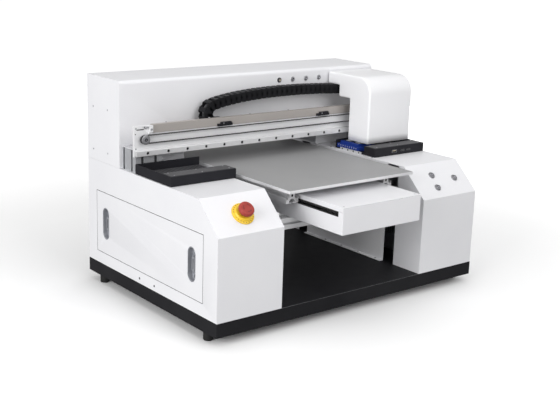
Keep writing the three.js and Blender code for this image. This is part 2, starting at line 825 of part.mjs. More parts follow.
/** Side view of the carriage cover, drawn in by a margin; low is its lower edge. */
function carriageOutline(margin, low) {
  const radius = carriageEdge - margin;
  const armBack = hoodFront - armGapToHood;
  const stepZ = armBottom + armStepRise;
  const outline = new THREE.Shape();
  outline.moveTo(carriageFront + margin, low);
  outline.lineTo(carriageBack - margin, low);
  outline.lineTo(carriageBack - margin, armBottom + margin);
  outline.lineTo(armStepY - margin, armBottom + margin);
  outline.lineTo(armStepY - margin, stepZ + margin);
  outline.lineTo(armBack - margin, stepZ + margin);
  outline.lineTo(armBack - margin, carriageTop - margin);
  outline.lineTo(carriageFront + carriageEdge, carriageTop - margin);
  outline.absarc(carriageFront + carriageEdge, carriageTop - carriageEdge, radius,
    Math.PI / 2, Math.PI, false);
  return outline;
}

function addCarriage() {
  const plateLeft = carriageLeft + backPlateInset;
  const plateRight = carriageRight - backPlateInset;
  const floorBottom = carriageBottom + carriageFloorRise;
  const floorTop = floorBottom + carriageFloor;
  const inside = carriageWall + gap;

  const shell = cut(
    alongX(carriageOutline(0, carriageBottom), carriageLeft, carriageRight),
    alongX(carriageOutline(carriageWall, carriageBottom - 1),
      carriageLeft + carriageWall, carriageRight - carriageWall),
    block(plateLeft - gap, plateRight + gap, carriageBack - carriageWall - 1, carriageBack + 1,
      carriageBottom - 1, floorTop + gap),
  );
  piece(printer, "carriage_cover", shell, "whitePlastic");

  const y0 = carriageBack + gap;
  const y1 = y0 + backPlateThickness;
  const middle = (carriageLeft + carriageRight) / 2;
  const headLeft = carriageLeft + headInset;
  const lampRight = carriageRight - headInset;
  const deviceFront = carriageFront + deviceSetback;
  const deviceBack = deviceFront + headDepth;
  const deviceBottom = carriageBottom - deviceDrop;
  const railMiddle = railBottom + railHeight / 2;
  const beltTop = pulleyZ + pulleyRadius + gap + beltThickness;
  const body = join(
    block(plateLeft, plateRight, y0, y1, floorBottom, floorBottom + backPlateHeight),
    block(plateLeft, plateRight, carriageBack - inside - 2, y0 + 1, floorBottom, floorTop),
    block(carriageLeft + inside, carriageRight - inside, carriageFront + inside,
      carriageBack - inside, floorBottom, floorTop),
    block(middle - guideLength / 2, middle + guideLength / 2, y1 - 1, plateFront - 2 * gap,
      railMiddle - guideHeight / 2, railMiddle + guideHeight / 2),
    block(middle - guideLength / 4, middle + guideLength / 4, y1 - 1, beltBack + gap,
      beltTop - beltThickness - clampBelow, beltTop + clampAbove),
  );
  const machined = cut(
    body,
    block(left, right, railFront - runningClearance, plateFront,
      railBottom - runningClearance, railBottom + railHeight + runningClearance),
    block(left, right, beltFront, beltBack + 1,
      beltTop - beltThickness - runningClearance, beltTop + runningClearance),
    block(headLeft - gap, headLeft + headWidth + gap, deviceFront - gap, deviceBack + gap,
      carriageBottom - 1, floorTop + 1),
    block(lampRight - lampWidth - gap, lampRight + gap, deviceFront - gap, deviceBack + gap,
      carriageBottom - 1, floorTop + 1),
  );
  piece(printer, "carriage_block", machined, "aluminium");

  const head = block(headLeft, headLeft + headWidth, deviceFront, deviceBack,
    deviceBottom, deviceBottom + headHeight);
  piece(printer, "print_head", head, "steel");
  const lamp = block(lampRight - lampWidth, lampRight, deviceFront, deviceBack,
    deviceBottom, deviceBottom + lampHeight);
  piece(printer, "uv_lamp", lamp, "aluminium");
}

// ---------------------------------------------------------------- bed and its unit

function addBed() {
  const bedHalf = (rightInner - leftInner) / 2 - bayMarginBed;
  const plate = block(bayCentre - bedHalf, bayCentre + bedHalf, bedFront, bedFront + bedLength,
    bedTop - bedThickness, bedTop);
  piece(printer, "bed_plate", plate, "bedPlate");

  for (const [name, out] of [["left", -1], ["right", 1]]) {
    const x = bayCentre + (out * profileSpacing) / 2;
    const profile = slottedProfile("Y", x - profileSize / 2, x + profileSize / 2,
      bedFront + profileInset, bedFront + bedLength - profileInset, profileBottom, profileTop);
    piece(printer, `${name}_bed_profile`, profile, "aluminium");
  }

  const reach = profileSpacing / 2 + profileSize / 2;
  const arm = block(bayCentre - reach, bayCentre + reach, bedMiddle - saddleLength / 2,
    bedMiddle + saddleLength / 2, saddleBottom, saddleBottom + saddleThickness);
  const blockLow = boxBottom + sheet + gap + saddleBlockFloor;
  const body = block(bayCentre - saddleBlockWidth / 2, bayCentre + saddleBlockWidth / 2,
    bedMiddle - saddleBlockLength / 2, bedMiddle + saddleBlockLength / 2,
    blockLow, saddleBottom + saddleThickness / 2);
  const channels = [-1, 1].map((out) => {
    const x = bayCentre + (out * yRailGauge) / 2;
    const half = yRailWidth / 2 + runningClearance;
    return block(x - half, x + half, boxFront, boxBack, boxBottom,
      boxBottom + sheet + gap + yRailHeight + runningClearance);
  });
  piece(printer, "bed_saddle", cut(join(arm, body), ...channels), "aluminium");
}

function addBedUnit() {
  const x0 = bayCentre - boxWidth / 2;
  const x1 = bayCentre + boxWidth / 2;
  const seamTop = lidBottom - gap;
  const tub = cut(
    block(x0, x1, boxFront, boxBack, boxBottom, boxTop - sheet - gap),
    block(x0 + sheet, x1 - sheet, boxFront + sheet, boxBack - sheet, boxBottom + sheet, boxTop),
    block(x0 - 1, x1 + 1, boxFront + boxSlotMargin, boxBack - boxSlotMargin, slotBottom, boxTop),
    block(x0 - 1, x1 + 1, boxFront + sheet, boxBack - sheet, seamTop, boxTop),
  );
  piece(printer, "y_box", tub, "whiteSheet");

  const lid = cut(
    block(x0, x1, boxFront, boxBack, lidBottom, boxTop),
    block(x0 + sheet, x1 - sheet, boxFront - 1, boxBack + 1, lidBottom - 1, boxTop - sheet),
    block(x0 - 1, x1 + 1, boxFront - 1, boxFront + sheet + gap, lidBottom - 1, boxTop - sheet),
    block(x0 - 1, x1 + 1, boxBack - sheet - gap, boxBack + 1, lidBottom - 1, boxTop - sheet),
  );
  piece(printer, "y_box_lid", lid, "whiteSheet");

  for (const [name, out] of [["left", -1], ["right", 1]]) {
    const x = bayCentre + (out * yRailGauge) / 2;
    const low = boxBottom + sheet + gap;
    const rail = block(x - yRailWidth / 2, x + yRailWidth / 2, boxFront + sheet + yRailSetback,
      boxBack - sheet - yRailSetback, low, low + yRailHeight);
    piece(printer, `${name}_y_rail`, rail, "steel");
  }

  for (const [name, y] of [["front", frontSlotMiddle], ["rear", rearSlotMiddle]]) {
    const beam = block(leftInner - crossBeamReach, rightInner + crossBeamReach,
      y - crossBeam / 2, y + crossBeam / 2, crossBottom, crossTop);
    piece(printer, `${name}_cross_beam`, beam, "aluminium");
  }

  for (const side of sides) {
    const carrier = cut(
      block(side.lift - carrierWidth / 2, side.lift + carrierWidth / 2,
        frontSlotMiddle - crossBeam / 2, rearSlotMiddle + crossBeam / 2,
        carrierTop - carrierHeight, carrierTop),
      rod(screwRadius + runningClearance, carrierTop - carrierHeight - 1, carrierTop + 1)
        .translate(side.lift, liftMiddle, 0),
    );
    piece(printer, `${side.name}_lift_carrier`, carrier, "steel");
  }
}

// ---------------------------------------------------------------- lift drive and electrics

function addLiftDrive() {
  for (const side of sides) {
    const half = liftMotorSize / 2;
    const motor = block(side.lift - half, side.lift + half, liftMiddle - half, liftMiddle + half,
      deck, liftMotorTop);
    piece(printer, `${side.name}_lift_motor`, motor, "blackSheet");

    const foot = liftMotorTop + gap;
    const top = coverTop - sheet - screwHeadroom;
    const screw = turned([
      [0, foot], [couplingRadius, foot], [couplingRadius, foot + couplingHeight],
      [screwRadius, foot + couplingHeight], [screwRadius, top - 1], [screwRadius - 1, top],
      [0, top],
    ]);
    const mesh = piece(printer, `${side.name}_lift_screw`, screw, "steel");
    mesh.position.set(side.lift, liftMiddle, 0);
  }
}

function addElectrics() {
  for (const [side, name, finish] of [
    [sides[1], "power_supply", "steel"], [sides[0], "control_unit", "blackSheet"],
  ]) {
    const [x0, x1] = inward(side, supplyInset, supplyInset + supplyWidth);
    const y0 = front + supplySetback;
    piece(printer, name, block(x0, x1, y0, y0 + supplyLength, deck, deck + supplyHeight), finish);
  }

  const inlet = cut(
    block(inletX - inletWidth / 2, inletX + inletWidth / 2, back - inletDepth, back - gap,
      inletZ - inletHeight / 2, inletZ + inletHeight / 2),
    block(inletX - inletWidth / 2 + inletSideWall, inletX + inletWidth / 2 - inletSideWall,
      back - inletDepth + inletWall, back,
      inletZ - inletHeight / 2 + inletWall, inletZ + inletHeight / 2 - inletWall),
  );
  piece(printer, "power_inlet", inlet, "blackPlastic");
}

// ---------------------------------------------------------------- assembly

addBase();
for (const side of sides) {
  addCover(side);
  addDoor(side);
}
addSlopeControls();
addHood();
addGantry();
addBeltDrive();
addChain();
addTrays();
addCarriage();
addBed();
addBedUnit();
addLiftDrive();
addElectrics();

export default printer;
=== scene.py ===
"""Looks of a flatbed UV printer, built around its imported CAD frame.

The frame gives every place and size: each class below reads the boxes of the CAD nodes that it
dresses, in metres, with +X to the right, +Y to the back and +Z up. Shapes are numpy arrays of
points: outlines carried along an axis, profiles turned round an axis, and grids.
"""

from __future__ import annotations

import json
import logging
import math
from dataclasses import dataclass, field
from enum import Enum
from typing import Iterable, Sequence

import bmesh
import bpy
import numpy as np
from mathutils import Matrix, Vector


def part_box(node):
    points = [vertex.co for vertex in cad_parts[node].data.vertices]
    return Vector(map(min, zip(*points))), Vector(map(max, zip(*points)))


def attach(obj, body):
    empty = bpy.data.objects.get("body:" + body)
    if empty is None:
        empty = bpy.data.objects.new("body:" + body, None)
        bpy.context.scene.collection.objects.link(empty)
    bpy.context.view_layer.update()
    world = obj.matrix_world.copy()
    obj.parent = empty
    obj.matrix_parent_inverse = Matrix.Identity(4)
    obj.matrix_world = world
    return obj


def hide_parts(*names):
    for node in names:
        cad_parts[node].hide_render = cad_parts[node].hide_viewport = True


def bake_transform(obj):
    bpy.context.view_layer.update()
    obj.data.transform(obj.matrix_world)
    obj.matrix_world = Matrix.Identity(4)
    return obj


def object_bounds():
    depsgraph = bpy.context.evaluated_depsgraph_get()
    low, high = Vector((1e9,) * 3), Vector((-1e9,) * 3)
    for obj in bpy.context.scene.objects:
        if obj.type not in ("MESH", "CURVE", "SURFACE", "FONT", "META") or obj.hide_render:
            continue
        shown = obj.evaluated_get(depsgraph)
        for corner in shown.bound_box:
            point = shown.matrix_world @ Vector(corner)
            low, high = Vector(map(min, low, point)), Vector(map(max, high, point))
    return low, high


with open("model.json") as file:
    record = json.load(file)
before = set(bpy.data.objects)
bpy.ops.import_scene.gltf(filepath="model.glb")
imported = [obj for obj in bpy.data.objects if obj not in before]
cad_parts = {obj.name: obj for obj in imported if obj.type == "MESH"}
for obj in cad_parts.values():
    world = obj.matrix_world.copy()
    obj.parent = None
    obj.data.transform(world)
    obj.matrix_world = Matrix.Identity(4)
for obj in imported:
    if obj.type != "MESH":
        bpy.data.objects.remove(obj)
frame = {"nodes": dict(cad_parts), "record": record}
CAD_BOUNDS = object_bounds()
NODES = frame["nodes"]
UP, DOWN, FRONT, REAR = (0, 0, 1), (0, 0, -1), (0, -1, 0), (0, 1, 0)

log = logging.getLogger("printer")


class Axis(Enum):
    """The row axis that an outline is carried along or a profile is turned round."""

    X = 0
    Y = 1
    Z = 2

    @property
    def across(self) -> tuple[int, int]:
        """The numbers of the two axes across this one, in turning order."""
        return (self.value + 1) % 3, (self.value + 2) % 3


class Side(Enum):
    """The two sides of the machine; the value is the direction outwards on X."""

    LEFT = -1
    RIGHT = 1

    @property
    def word(self) -> str:
        """The side's name as it stands in node names."""
        return self.name.lower()


# ---- shapes as arrays


@dataclass
class Shape:
    """A surface: points as an (n, 3) array in metres, and faces as tuples of indices."""

    points: np.ndarray
    faces: list[tuple[int, ...]]

    def moved(self, x: float = 0.0, y: float = 0.0, z: float = 0.0) -> Shape:
        """The surface moved by the given distances."""
        return Shape(self.points + np.array([x, y, z]), self.faces)

    def placed(self, matrix: Matrix) -> Shape:
        """The surface turned and moved by a 4 by 4 matrix."""
        turn = np.array(matrix, float)
        return Shape(self.points @ turn[:3, :3].T + turn[:3, 3], self.faces)

    def turned_over(self) -> Shape:
        """The surface with its right side on the other side."""
        return Shape(self.points, [face[::-1] for face in self.faces])

    def closed(self, count: int, under: bool = True, over: bool = True) -> Shape:
        """A wall of rings of count points, closed by faces under its first and over its last.

        Args:
            count: how many points each ring has.
            under: whether the first ring gets a face.
            over: whether the last ring gets one.

        Returns:
            The surface with its faces.
        """
        ring, last = range(count), range(len(self.points) - count, len(self.points))
        caps = [tuple(ring)[::-1]] * under + [tuple(last)] * over
        return Shape(self.points, self.faces + caps)


def joined(shapes: Iterable[Shape]) -> Shape:
    """Several surfaces in one.

    Args:
        shapes: the surfaces, at least one.

    Returns:
        One surface that holds them all.
    """
    pieces = list(shapes)
    starts = np.cumsum([0] + [len(piece.points) for piece in pieces])
    faces = [
        tuple(int(i + start) for i in face)
        for piece, start in zip(pieces, starts)
        for face in piece.faces
    ]
    return Shape(np.vstack([piece.points for piece in pieces]), faces)


def grid(points: np.ndarray, wrap_rows: bool = False, wrap_columns: bool = False) -> Shape:
    """A surface through a grid of points.

    Args:
        points: an array of rows by columns by 3.
        wrap_rows: whether the last row joins the first.
        wrap_columns: whether the last column joins the first.

    Returns:
        The surface, with one four-sided face for each cell.
    """
    rows, columns = points.shape[:2]
    r = np.arange(rows if wrap_rows else rows - 1)[:, None]
    c = np.arange(columns if wrap_columns else columns - 1)[None, :]
    r1, c1 = (r + 1) % rows, (c + 1) % columns
    cells = np.stack([r * columns + c, r * columns + c1, r1 * columns + c1, r1 * columns + c], -1)
    return Shape(points.reshape(-1, 3), [tuple(map(int, f)) for f in cells.reshape(-1, 4)])


def to_axis(points: np.ndarray, axis: Axis) -> np.ndarray:
    """Turns points drawn with their long direction on Z so that it lies on another axis.

    The order of the axes is rotated and never swapped, so a surface keeps its right side out.
    """
    order = {Axis.X: (2, 0, 1), Axis.Y: (1, 2, 0), Axis.Z: (0, 1, 2)}[axis]
    return points[..., order]


def prism(outline: np.ndarray, low: float, high: float, axis: Axis = Axis.Z) -> Shape:
    """An outline carried straight along an axis, with flat ends.

    Args:
        outline: (n, 2) points, counter-clockwise; for X they are (Y, Z), for Y they are (Z, X).
        low: where the prism starts on the axis.
        high: where it ends.
        axis: the axis that it is carried along.

    Returns:
        A closed surface.
    """
    count = len(outline)
    ends = [np.column_stack([outline, np.full(count, level)]) for level in (low, high)]
    wall = grid(np.stack(ends), wrap_columns=True).closed(count)
    return Shape(to_axis(wall.points, axis), wall.faces)


def round_rings(radius: np.ndarray, height: np.ndarray, angle: np.ndarray) -> np.ndarray:
    """Rings of points: radius times (cos, sin) of the angle, at each ring's height.

    Args:
        radius: one number for each ring and angle, or an array that spreads to that.
        height: each ring's height.
        angle: the angles of a ring's points.

    Returns:
        An array of rings by angles by 3.
    """
    size = np.broadcast_to(radius, (len(height), len(angle)))
    level = np.broadcast_to(np.reshape(height, (-1, 1)), size.shape)
    return np.stack([size * np.cos(angle), size * np.sin(angle), level], -1)


def turned(profile: Sequence[tuple[float, float]], sides: int = 32, axis: Axis = Axis.Z,
           under: bool = True, over: bool = True) -> Shape:
    """A profile turned round an axis: radius times (cos, sin) of the angle, at each height.

    Args:
        profile: (radius, height) pairs from the foot to the top, on the outside going up.
        sides: how many steps make the full turn.
        axis: the axis of the turn.
        under: whether the foot is closed with a flat face.
        over: whether the top is.

    Returns:
        The surface.
    """
    radius, height = np.array(profile, float).T
    angle = np.linspace(0, 2 * np.pi, sides, endpoint=False)
    wall = grid(round_rings(radius[:, None], height, angle), wrap_columns=True)
    return Shape(to_axis(wall.points, axis), wall.closed(sides, under, over).faces)


def block(low: Sequence[float], high: Sequence[float]) -> Shape:
    """A plain block between two corners, to be rounded by its piece's bevel."""
    (x0, y0, z0), (x1, y1, z1) = low, high
    return prism(np.array([[x0, y0], [x1, y0], [x1, y1], [x0, y1]]), z0, z1)


def rounded_outline(width: float, height: float, radius: float, steps: int = 6) -> np.ndarray:
    """A rectangle with round corners, centred on the origin, counter-clockwise.

    Each corner is a quarter circle: its centre plus radius times (cos, sin) of the angle.

    Args:
        width: its size on the first axis.
        height: its size on the second.
        radius: the corners' radius.
        steps: how many edges make each corner.

    Returns:
        The outline as (n, 2) points.
    """
    angle = np.linspace(0, np.pi / 2, steps + 1)
    corners = []
    for index, (sx, sy) in enumerate([(1, 1), (-1, 1), (-1, -1), (1, -1)]):
        turn = angle + index * np.pi / 2
        centre = np.array([sx * (width / 2 - radius), sy * (height / 2 - radius)])
        corners.append(centre + radius * np.column_stack([np.cos(turn), np.sin(turn)]))
    return np.vstack(corners)


def corners_of(node: str) -> tuple[np.ndarray, np.ndarray]:
    """The lowest and highest corner of a CAD node at rest, as arrays."""
    low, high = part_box(node)
    return np.array(low), np.array(high)


# ---- shader expressions


class Value:
    """A number in a shader. The usual operators add the Math nodes that work them out."""

    def __init__(self, graph: Graph, socket: bpy.types.NodeSocket) -> None:
        """Wraps one output socket of a graph."""
        self.graph = graph
        self.socket = socket

    def _math(self, operation: str, first: Value | float, second: Value | float = 0.0) -> Value:
        """Adds one Math node and returns its result."""
        inputs = {0: first, 1: second}
        return self.graph.value("ShaderNodeMath", {"operation": operation}, inputs)

    def __add__(self, other: Value | float) -> Value:
        """This value plus another."""
        return self._math("ADD", self, other)

    __radd__ = __add__

    def __sub__(self, other: Value | float) -> Value:
        """This value minus another."""
        return self._math("SUBTRACT", self, other)

    def __rsub__(self, other: Value | float) -> Value:
        """A number minus this value."""
        return self._math("SUBTRACT", other, self)

    def __mul__(self, other: Value | float) -> Value:
        """This value times another."""
        return self._math("MULTIPLY", self, other)

    __rmul__ = __mul__

    def __pow__(self, other: Value | float) -> Value:
        """This value to a power."""
        return self._math("POWER", self, other)

    def between(self, low: float, high: float) -> Value:
        """0 below low, 1 above high, and a smooth step in between."""
        inputs = {"Value": self, "From Min": low, "From Max": high}
        return self.graph.value("ShaderNodeMapRange", {"interpolation_type": "SMOOTHSTEP"}, inputs)


class Graph:
    """The node tree of one material, built on its Principled shader."""

    def __init__(self, name: str) -> None:
        """Starts an empty material with a Principled shader and its output.

        Args:
            name: the material's name.
        """
        self.material = bpy.data.materials.new(name)
        self.material.use_nodes = True
        self.tree = self.material.node_tree
        self.tree.nodes.clear()
        self.shader = self.node("ShaderNodeBsdfPrincipled", {}, {})
        output = self.node("ShaderNodeOutputMaterial", {}, {})
        self.tree.links.new(self.shader.outputs[0], output.inputs["Surface"])

    def node(self, kind: str, settings: dict, inputs: dict) -> bpy.types.Node:
        """Adds a node.

        Args:
            kind: the node's type name.
            settings: properties that are set first, such as an operation.
            inputs: values, colours, sockets or Values for its inputs, by name or number.

        Returns:
            The new node.
        """
        made = self.tree.nodes.new(kind)
        for key, value in settings.items():
            setattr(made, key, value)
        for key, value in inputs.items():
            self.feed(made.inputs[key], value)
        return made

    def feed(self, target: bpy.types.NodeSocket, value: object) -> None:
        """Links a socket or Value to an input, or sets a plain number or colour on it."""
        if isinstance(value, Value):
            value = value.socket
        if isinstance(value, bpy.types.NodeSocket):
            self.tree.links.new(value, target)
        else:
            target.default_value = value

    def value(self, kind: str, settings: dict, inputs: dict, output: int | str = 0) -> Value:
        """Adds a node and wraps one of its outputs as a number."""
        return Value(self, self.node(kind, settings, inputs).outputs[output])

    def place(self, stretch: Sequence[float] = (1.0, 1.0, 1.0)) -> bpy.types.NodeSocket:
        """Object coordinates in metres, multiplied on each axis by stretch."""
        inputs = {"Vector": self.node("ShaderNodeTexCoord", {}, {}).outputs["Object"],
                  "Scale": tuple(stretch)}
        return self.node("ShaderNodeMapping", {}, inputs).outputs[0]

    def noise(self, scale: float, detail: float = 2.0,
              stretch: Sequence[float] = (1.0, 1.0, 1.0)) -> Value:
        """A soft random pattern with the given number of features in a metre."""
        inputs = {"Vector": self.place(stretch), "Scale": scale, "Detail": detail}
        return self.value("ShaderNodeTexNoise", {}, inputs)

    def tint(self, first: Sequence[float], second: Sequence[float], share: Value) -> Value:
        """A colour between two, by share."""
        inputs = {0: share, 6: (*first, 1.0), 7: (*second, 1.0)}
        return self.value("ShaderNodeMix", {"data_type": "RGBA"}, inputs, 2)

    def bump(self, height: Value, depth: float) -> None:
        """Raises the surface by height times depth, in metres, through the shader's normal."""
        inputs = {"Height": height, "Distance": depth, "Strength": 1.0}
        self.feed(self.shader.inputs["Normal"], self.node("ShaderNodeBump", {}, inputs).outputs[0])


# ---- finishes


@dataclass(frozen=True)
class Finish:
    """A surface finish: a colour that wanders between two, a roughness range and a fine grain."""

    name: str
    slot: str
    light: tuple[float, float, float]
    dark: tuple[float, float, float]
    rough: float
    rough_spread: float = 0.06
    metal: float = 0.0
    coat: float = 0.0
    specular: float = 0.5
    cloud: float = 9.0
    grain: float = 900.0
    grain_depth: float = 0.00001
    stretch: tuple[float, float, float] = (1.0, 1.0, 1.0)

    def material(self) -> bpy.types.Material:
        """The finish as a material, made once."""
        found = bpy.data.materials.get(self.name)
        return found if found else self.build().material

    def build(self) -> Graph:
        """Makes the node tree: slow clouds for the colour, a fine grain for gloss and relief.

        Returns:
            The finished graph.
        """
        graph = Graph(self.name)
        clouds = graph.noise(self.cloud, 4.0)
        grains = graph.noise(self.grain, 3.0, self.stretch)
        share = (clouds * 0.6 + grains * 0.4).between(0.3, 0.7)
        inputs = graph.shader.inputs
        graph.feed(inputs["Base Color"], graph.tint(self.dark, self.light, share))
        wear = graph.noise(self.cloud * 3.7, 5.0)
        rough = (wear + grains) * self.rough_spread + (self.rough - self.rough_spread)
        graph.feed(inputs["Roughness"], rough)
        inputs["Metallic"].default_value = self.metal
        inputs["Specular IOR Level"].default_value = self.specular
        inputs["Coat Weight"].default_value = self.coat
        inputs["Coat Roughness"].default_value = 0.18
        self.relief(graph, grains)
        return graph

    def relief(self, graph: Graph, grains: Value) -> None:
        """Gives the grain its depth."""
        graph.bump(grains, self.grain_depth)


@dataclass(frozen=True)
class TexturedPaint(Finish):
    """Powder coat with a leathery texture: rounded cells between fine grooves."""

    cells: float = 650.0
    cell_depth: float = 0.00006

    def relief(self, graph: Graph, grains: Value) -> None:
        """Rounded cells, with the fine grain on top."""
        cells = graph.value("ShaderNodeTexVoronoi", {"feature": "SMOOTH_F1"},
                            {"Vector": graph.place(), "Scale": self.cells}, "Distance")
        graph.bump((1.0 - cells) * 0.8 + grains * 0.2, self.cell_depth)


@dataclass(frozen=True)
class Brushed(Finish):
    """Metal with long fine lines on one axis."""

    along: Axis = Axis.X
    line: float = 1400.0

    def relief(self, graph: Graph, grains: Value) -> None:
        """Lines that run along the axis, as a noise squeezed to a fiftieth on it."""
        squeeze = [0.02 if axis is self.along else 1.0 for axis in Axis]
        graph.bump(graph.noise(self.line, 3.0, squeeze) * 0.8 + grains * 0.2, self.grain_depth)


WHITE_PAINT = Finish(
    "white_powder_coat", "white_sheet", (0.80, 0.80, 0.82), (0.77, 0.77, 0.795), 0.42, 0.05,
    coat=0.12, grain=520.0, grain_depth=0.000012)
WHITE_SHELL = Finish(
    "white_moulded_shell", "white_shell", (0.86, 0.86, 0.875), (0.84, 0.84, 0.86), 0.34, 0.04,
    coat=0.2, grain=300.0, grain_depth=0.000006)
INNER_PAINT = Finish(
    "inner_grey_coat", "white_sheet", (0.80, 0.80, 0.815), (0.76, 0.76, 0.775), 0.5, 0.05,
    grain=520.0, grain_depth=0.000012)
BLACK_PAINT = TexturedPaint(
    "black_textured_coat", "black_sheet", (0.016, 0.016, 0.018), (0.008, 0.008, 0.010), 0.6, 0.08,
    specular=0.16)
# Real black moulded plastic; also the painted shade drawn as flat black patches in holes, slots and
# grooves.
BLACK_PLASTIC_AND_HOLE_SHADE = TexturedPaint(
    "black_moulded", "black_plastic", (0.015, 0.015, 0.019), (0.009, 0.009, 0.012), 0.5, 0.08,
    specular=0.2, cells=1400.0, cell_depth=0.000025)
CHAIN_PLASTIC = Finish(
    "chain_nylon", "black_plastic", (0.014, 0.014, 0.016), (0.005, 0.005, 0.006), 0.45, 0.08,
    specular=0.12, grain=700.0, grain_depth=0.00002)
# Real rubber on feet, caps, brushes and cables; also the painted shade in the doors' seams.
RUBBER_AND_SEAM_SHADE = Finish(
    "soft_black_rubber", "black_rubber", (0.020, 0.020, 0.020), (0.012, 0.012, 0.012), 0.75, 0.08,
    specular=0.3, grain=1500.0, grain_depth=0.00003)
SATIN_GREY = Finish(
    "satin_grey_deck", "black_plastic", (0.085, 0.085, 0.09), (0.05, 0.05, 0.054), 0.45, 0.06,
    specular=0.25, grain=1200.0, grain_depth=0.00001)
ALUMINIUM_X = Brushed(
    "anodised_along_x", "aluminium", (0.88, 0.88, 0.89), (0.82, 0.82, 0.835), 0.38, 0.08,
    metal=0.3, grain_depth=0.000003, along=Axis.X)
ALUMINIUM_Y = Brushed(
    "anodised_along_y", "aluminium", (0.80, 0.80, 0.81), (0.73, 0.73, 0.745), 0.38, 0.08,
    metal=0.6, grain_depth=0.000003, along=Axis.Y)
ALUMINIUM_Z = Brushed(
    "anodised_along_z", "aluminium", (0.58, 0.59, 0.61), (0.50, 0.51, 0.53), 0.38, 0.08, metal=0.6,
    grain_depth=0.000003, along=Axis.Z)
GROUND_STEEL = Brushed(
    "ground_steel", "steel", (0.82, 0.82, 0.83), (0.74, 0.74, 0.75), 0.36, 0.05, metal=0.55,
    grain_depth=0.0000012, along=Axis.X, line=500.0)
SCREW_STEEL = Finish(
    "screw_steel", "steel", (0.50, 0.50, 0.52), (0.38, 0.38, 0.40), 0.32, 0.1, metal=1.0,
    cloud=90.0, grain=2500.0, grain_depth=0.000006)
DARK_STEEL = Finish(
    "black_oxide_screw", "steel", (0.045, 0.045, 0.05), (0.02, 0.02, 0.024), 0.4, 0.1, metal=0.7,
    cloud=90.0, grain=2500.0, grain_depth=0.000006)
BED_SURFACE = Finish(
    "bead_blasted_plate", "bed_surface", (0.35, 0.35, 0.352), (0.32, 0.32, 0.325), 0.52, 0.05,
    metal=0.2, cloud=5.0, grain=1800.0, grain_depth=0.000012)
TROUGH_METAL = Brushed(
    "bronze_grey_anodised", "trough", (0.44, 0.41, 0.388), (0.40, 0.37, 0.35), 0.45, 0.06,
    metal=0.35, grain_depth=0.000003)
RED_PLASTIC = Finish(
    "matt_red_plastic", "stop_red", (0.38, 0.054, 0.044), (0.31, 0.040, 0.033), 0.5, 0.06,
    specular=0.3, cloud=60.0, grain=1600.0, grain_depth=0.00001)
YELLOW_PLASTIC = Finish(
    "matt_yellow_plastic", "stop_yellow", (0.84, 0.56, 0.035), (0.76, 0.49, 0.025), 0.4, 0.06,
    cloud=60.0, grain=1600.0, grain_depth=0.00001)
BLUE_PLASTIC = Finish(
    "deep_blue_plastic", "cap_blue", (0.014, 0.040, 0.24), (0.010, 0.028, 0.17), 0.5, 0.06,
    specular=0.12, cloud=60.0, grain=1600.0, grain_depth=0.00001)
GRIP_GREY = Finish(
    "grip_grey", "steel", (0.36, 0.37, 0.40), (0.29, 0.30, 0.33), 0.36, 0.08, metal=0.35,
    cloud=60.0, grain=1500.0, grain_depth=0.000012)
DARK_PLASTIC = Finish(
    "dark_grey_moulded", "black_plastic", (0.035, 0.035, 0.038), (0.025, 0.025, 0.028), 0.45, 0.08,
    cloud=60.0, grain=1600.0)
GLOSS_BLACK = Finish(
    "gloss_black_window", "black_plastic", (0.008, 0.008, 0.010), (0.005, 0.005, 0.006), 0.14,
    0.04, coat=0.4, cloud=40.0)
BELT_RUBBER = Finish(
    "belt_rubber", "black_rubber", (0.020, 0.020, 0.021), (0.011, 0.011, 0.012), 0.6, 0.08,
    grain=1800.0, grain_depth=0.00003)
CABLE_GREY = Finish(
    "cable_jacket", "black_plastic", (0.06, 0.06, 0.065), (0.04, 0.04, 0.045), 0.5, 0.08,
    cloud=50.0)
LAMINATED = Brushed(
    "motor_laminations", "black_sheet", (0.10, 0.10, 0.105), (0.05, 0.05, 0.055), 0.42, 0.08,
    metal=0.8, grain_depth=0.00003)
DARK_RED = Finish(
    "stop_dark_red", "stop_red", (0.20, 0.016, 0.015), (0.14, 0.010, 0.010), 0.42, 0.06,
    cloud=60.0)
BEIGE_PLASTIC = Finish(
    "beige_insulator", "white_shell", (0.62, 0.54, 0.40), (0.52, 0.45, 0.33), 0.45, 0.06,
    cloud=70.0)
FOAM_WHITE = Finish(
    "pale_foam", "white_shell", (0.72, 0.73, 0.75), (0.62, 0.63, 0.66), 0.75, 0.05, cloud=120.0,
    grain_depth=0.00003)
# Painted highlight: a brighter copy of steel for the button faces.
LIT_STEEL = Finish(
    "dished_button_steel", "steel", (0.62, 0.62, 0.66), (0.46, 0.46, 0.50), 0.22, 0.08, metal=1.0,
    cloud=140.0, grain=2600.0, grain_depth=0.000005)
# Painted highlight: a grey finish that stands in for the light caught along the base's folded front
# edge.
PAINTED_HIGHLIGHT_EDGE = Finish(
    "rubbed_black_edge", "black_sheet", (0.30, 0.30, 0.31), (0.12, 0.12, 0.125), 0.4, 0.08,
    cloud=45.0, grain=1200.0)
CAP_GREY = Finish(
    "pale_end_cap", "aluminium", (0.60, 0.60, 0.62), (0.54, 0.54, 0.56), 0.4, 0.06, cloud=40.0)
EDGE_METAL = Finish(
    "milled_edge", "aluminium", (0.80, 0.80, 0.81), (0.70, 0.70, 0.72), 0.4, 0.05, metal=0.3,
    cloud=30.0, grain=700.0, grain_depth=0.000001)


# ---- making pieces


Parts = list[tuple[Shape, Finish]]


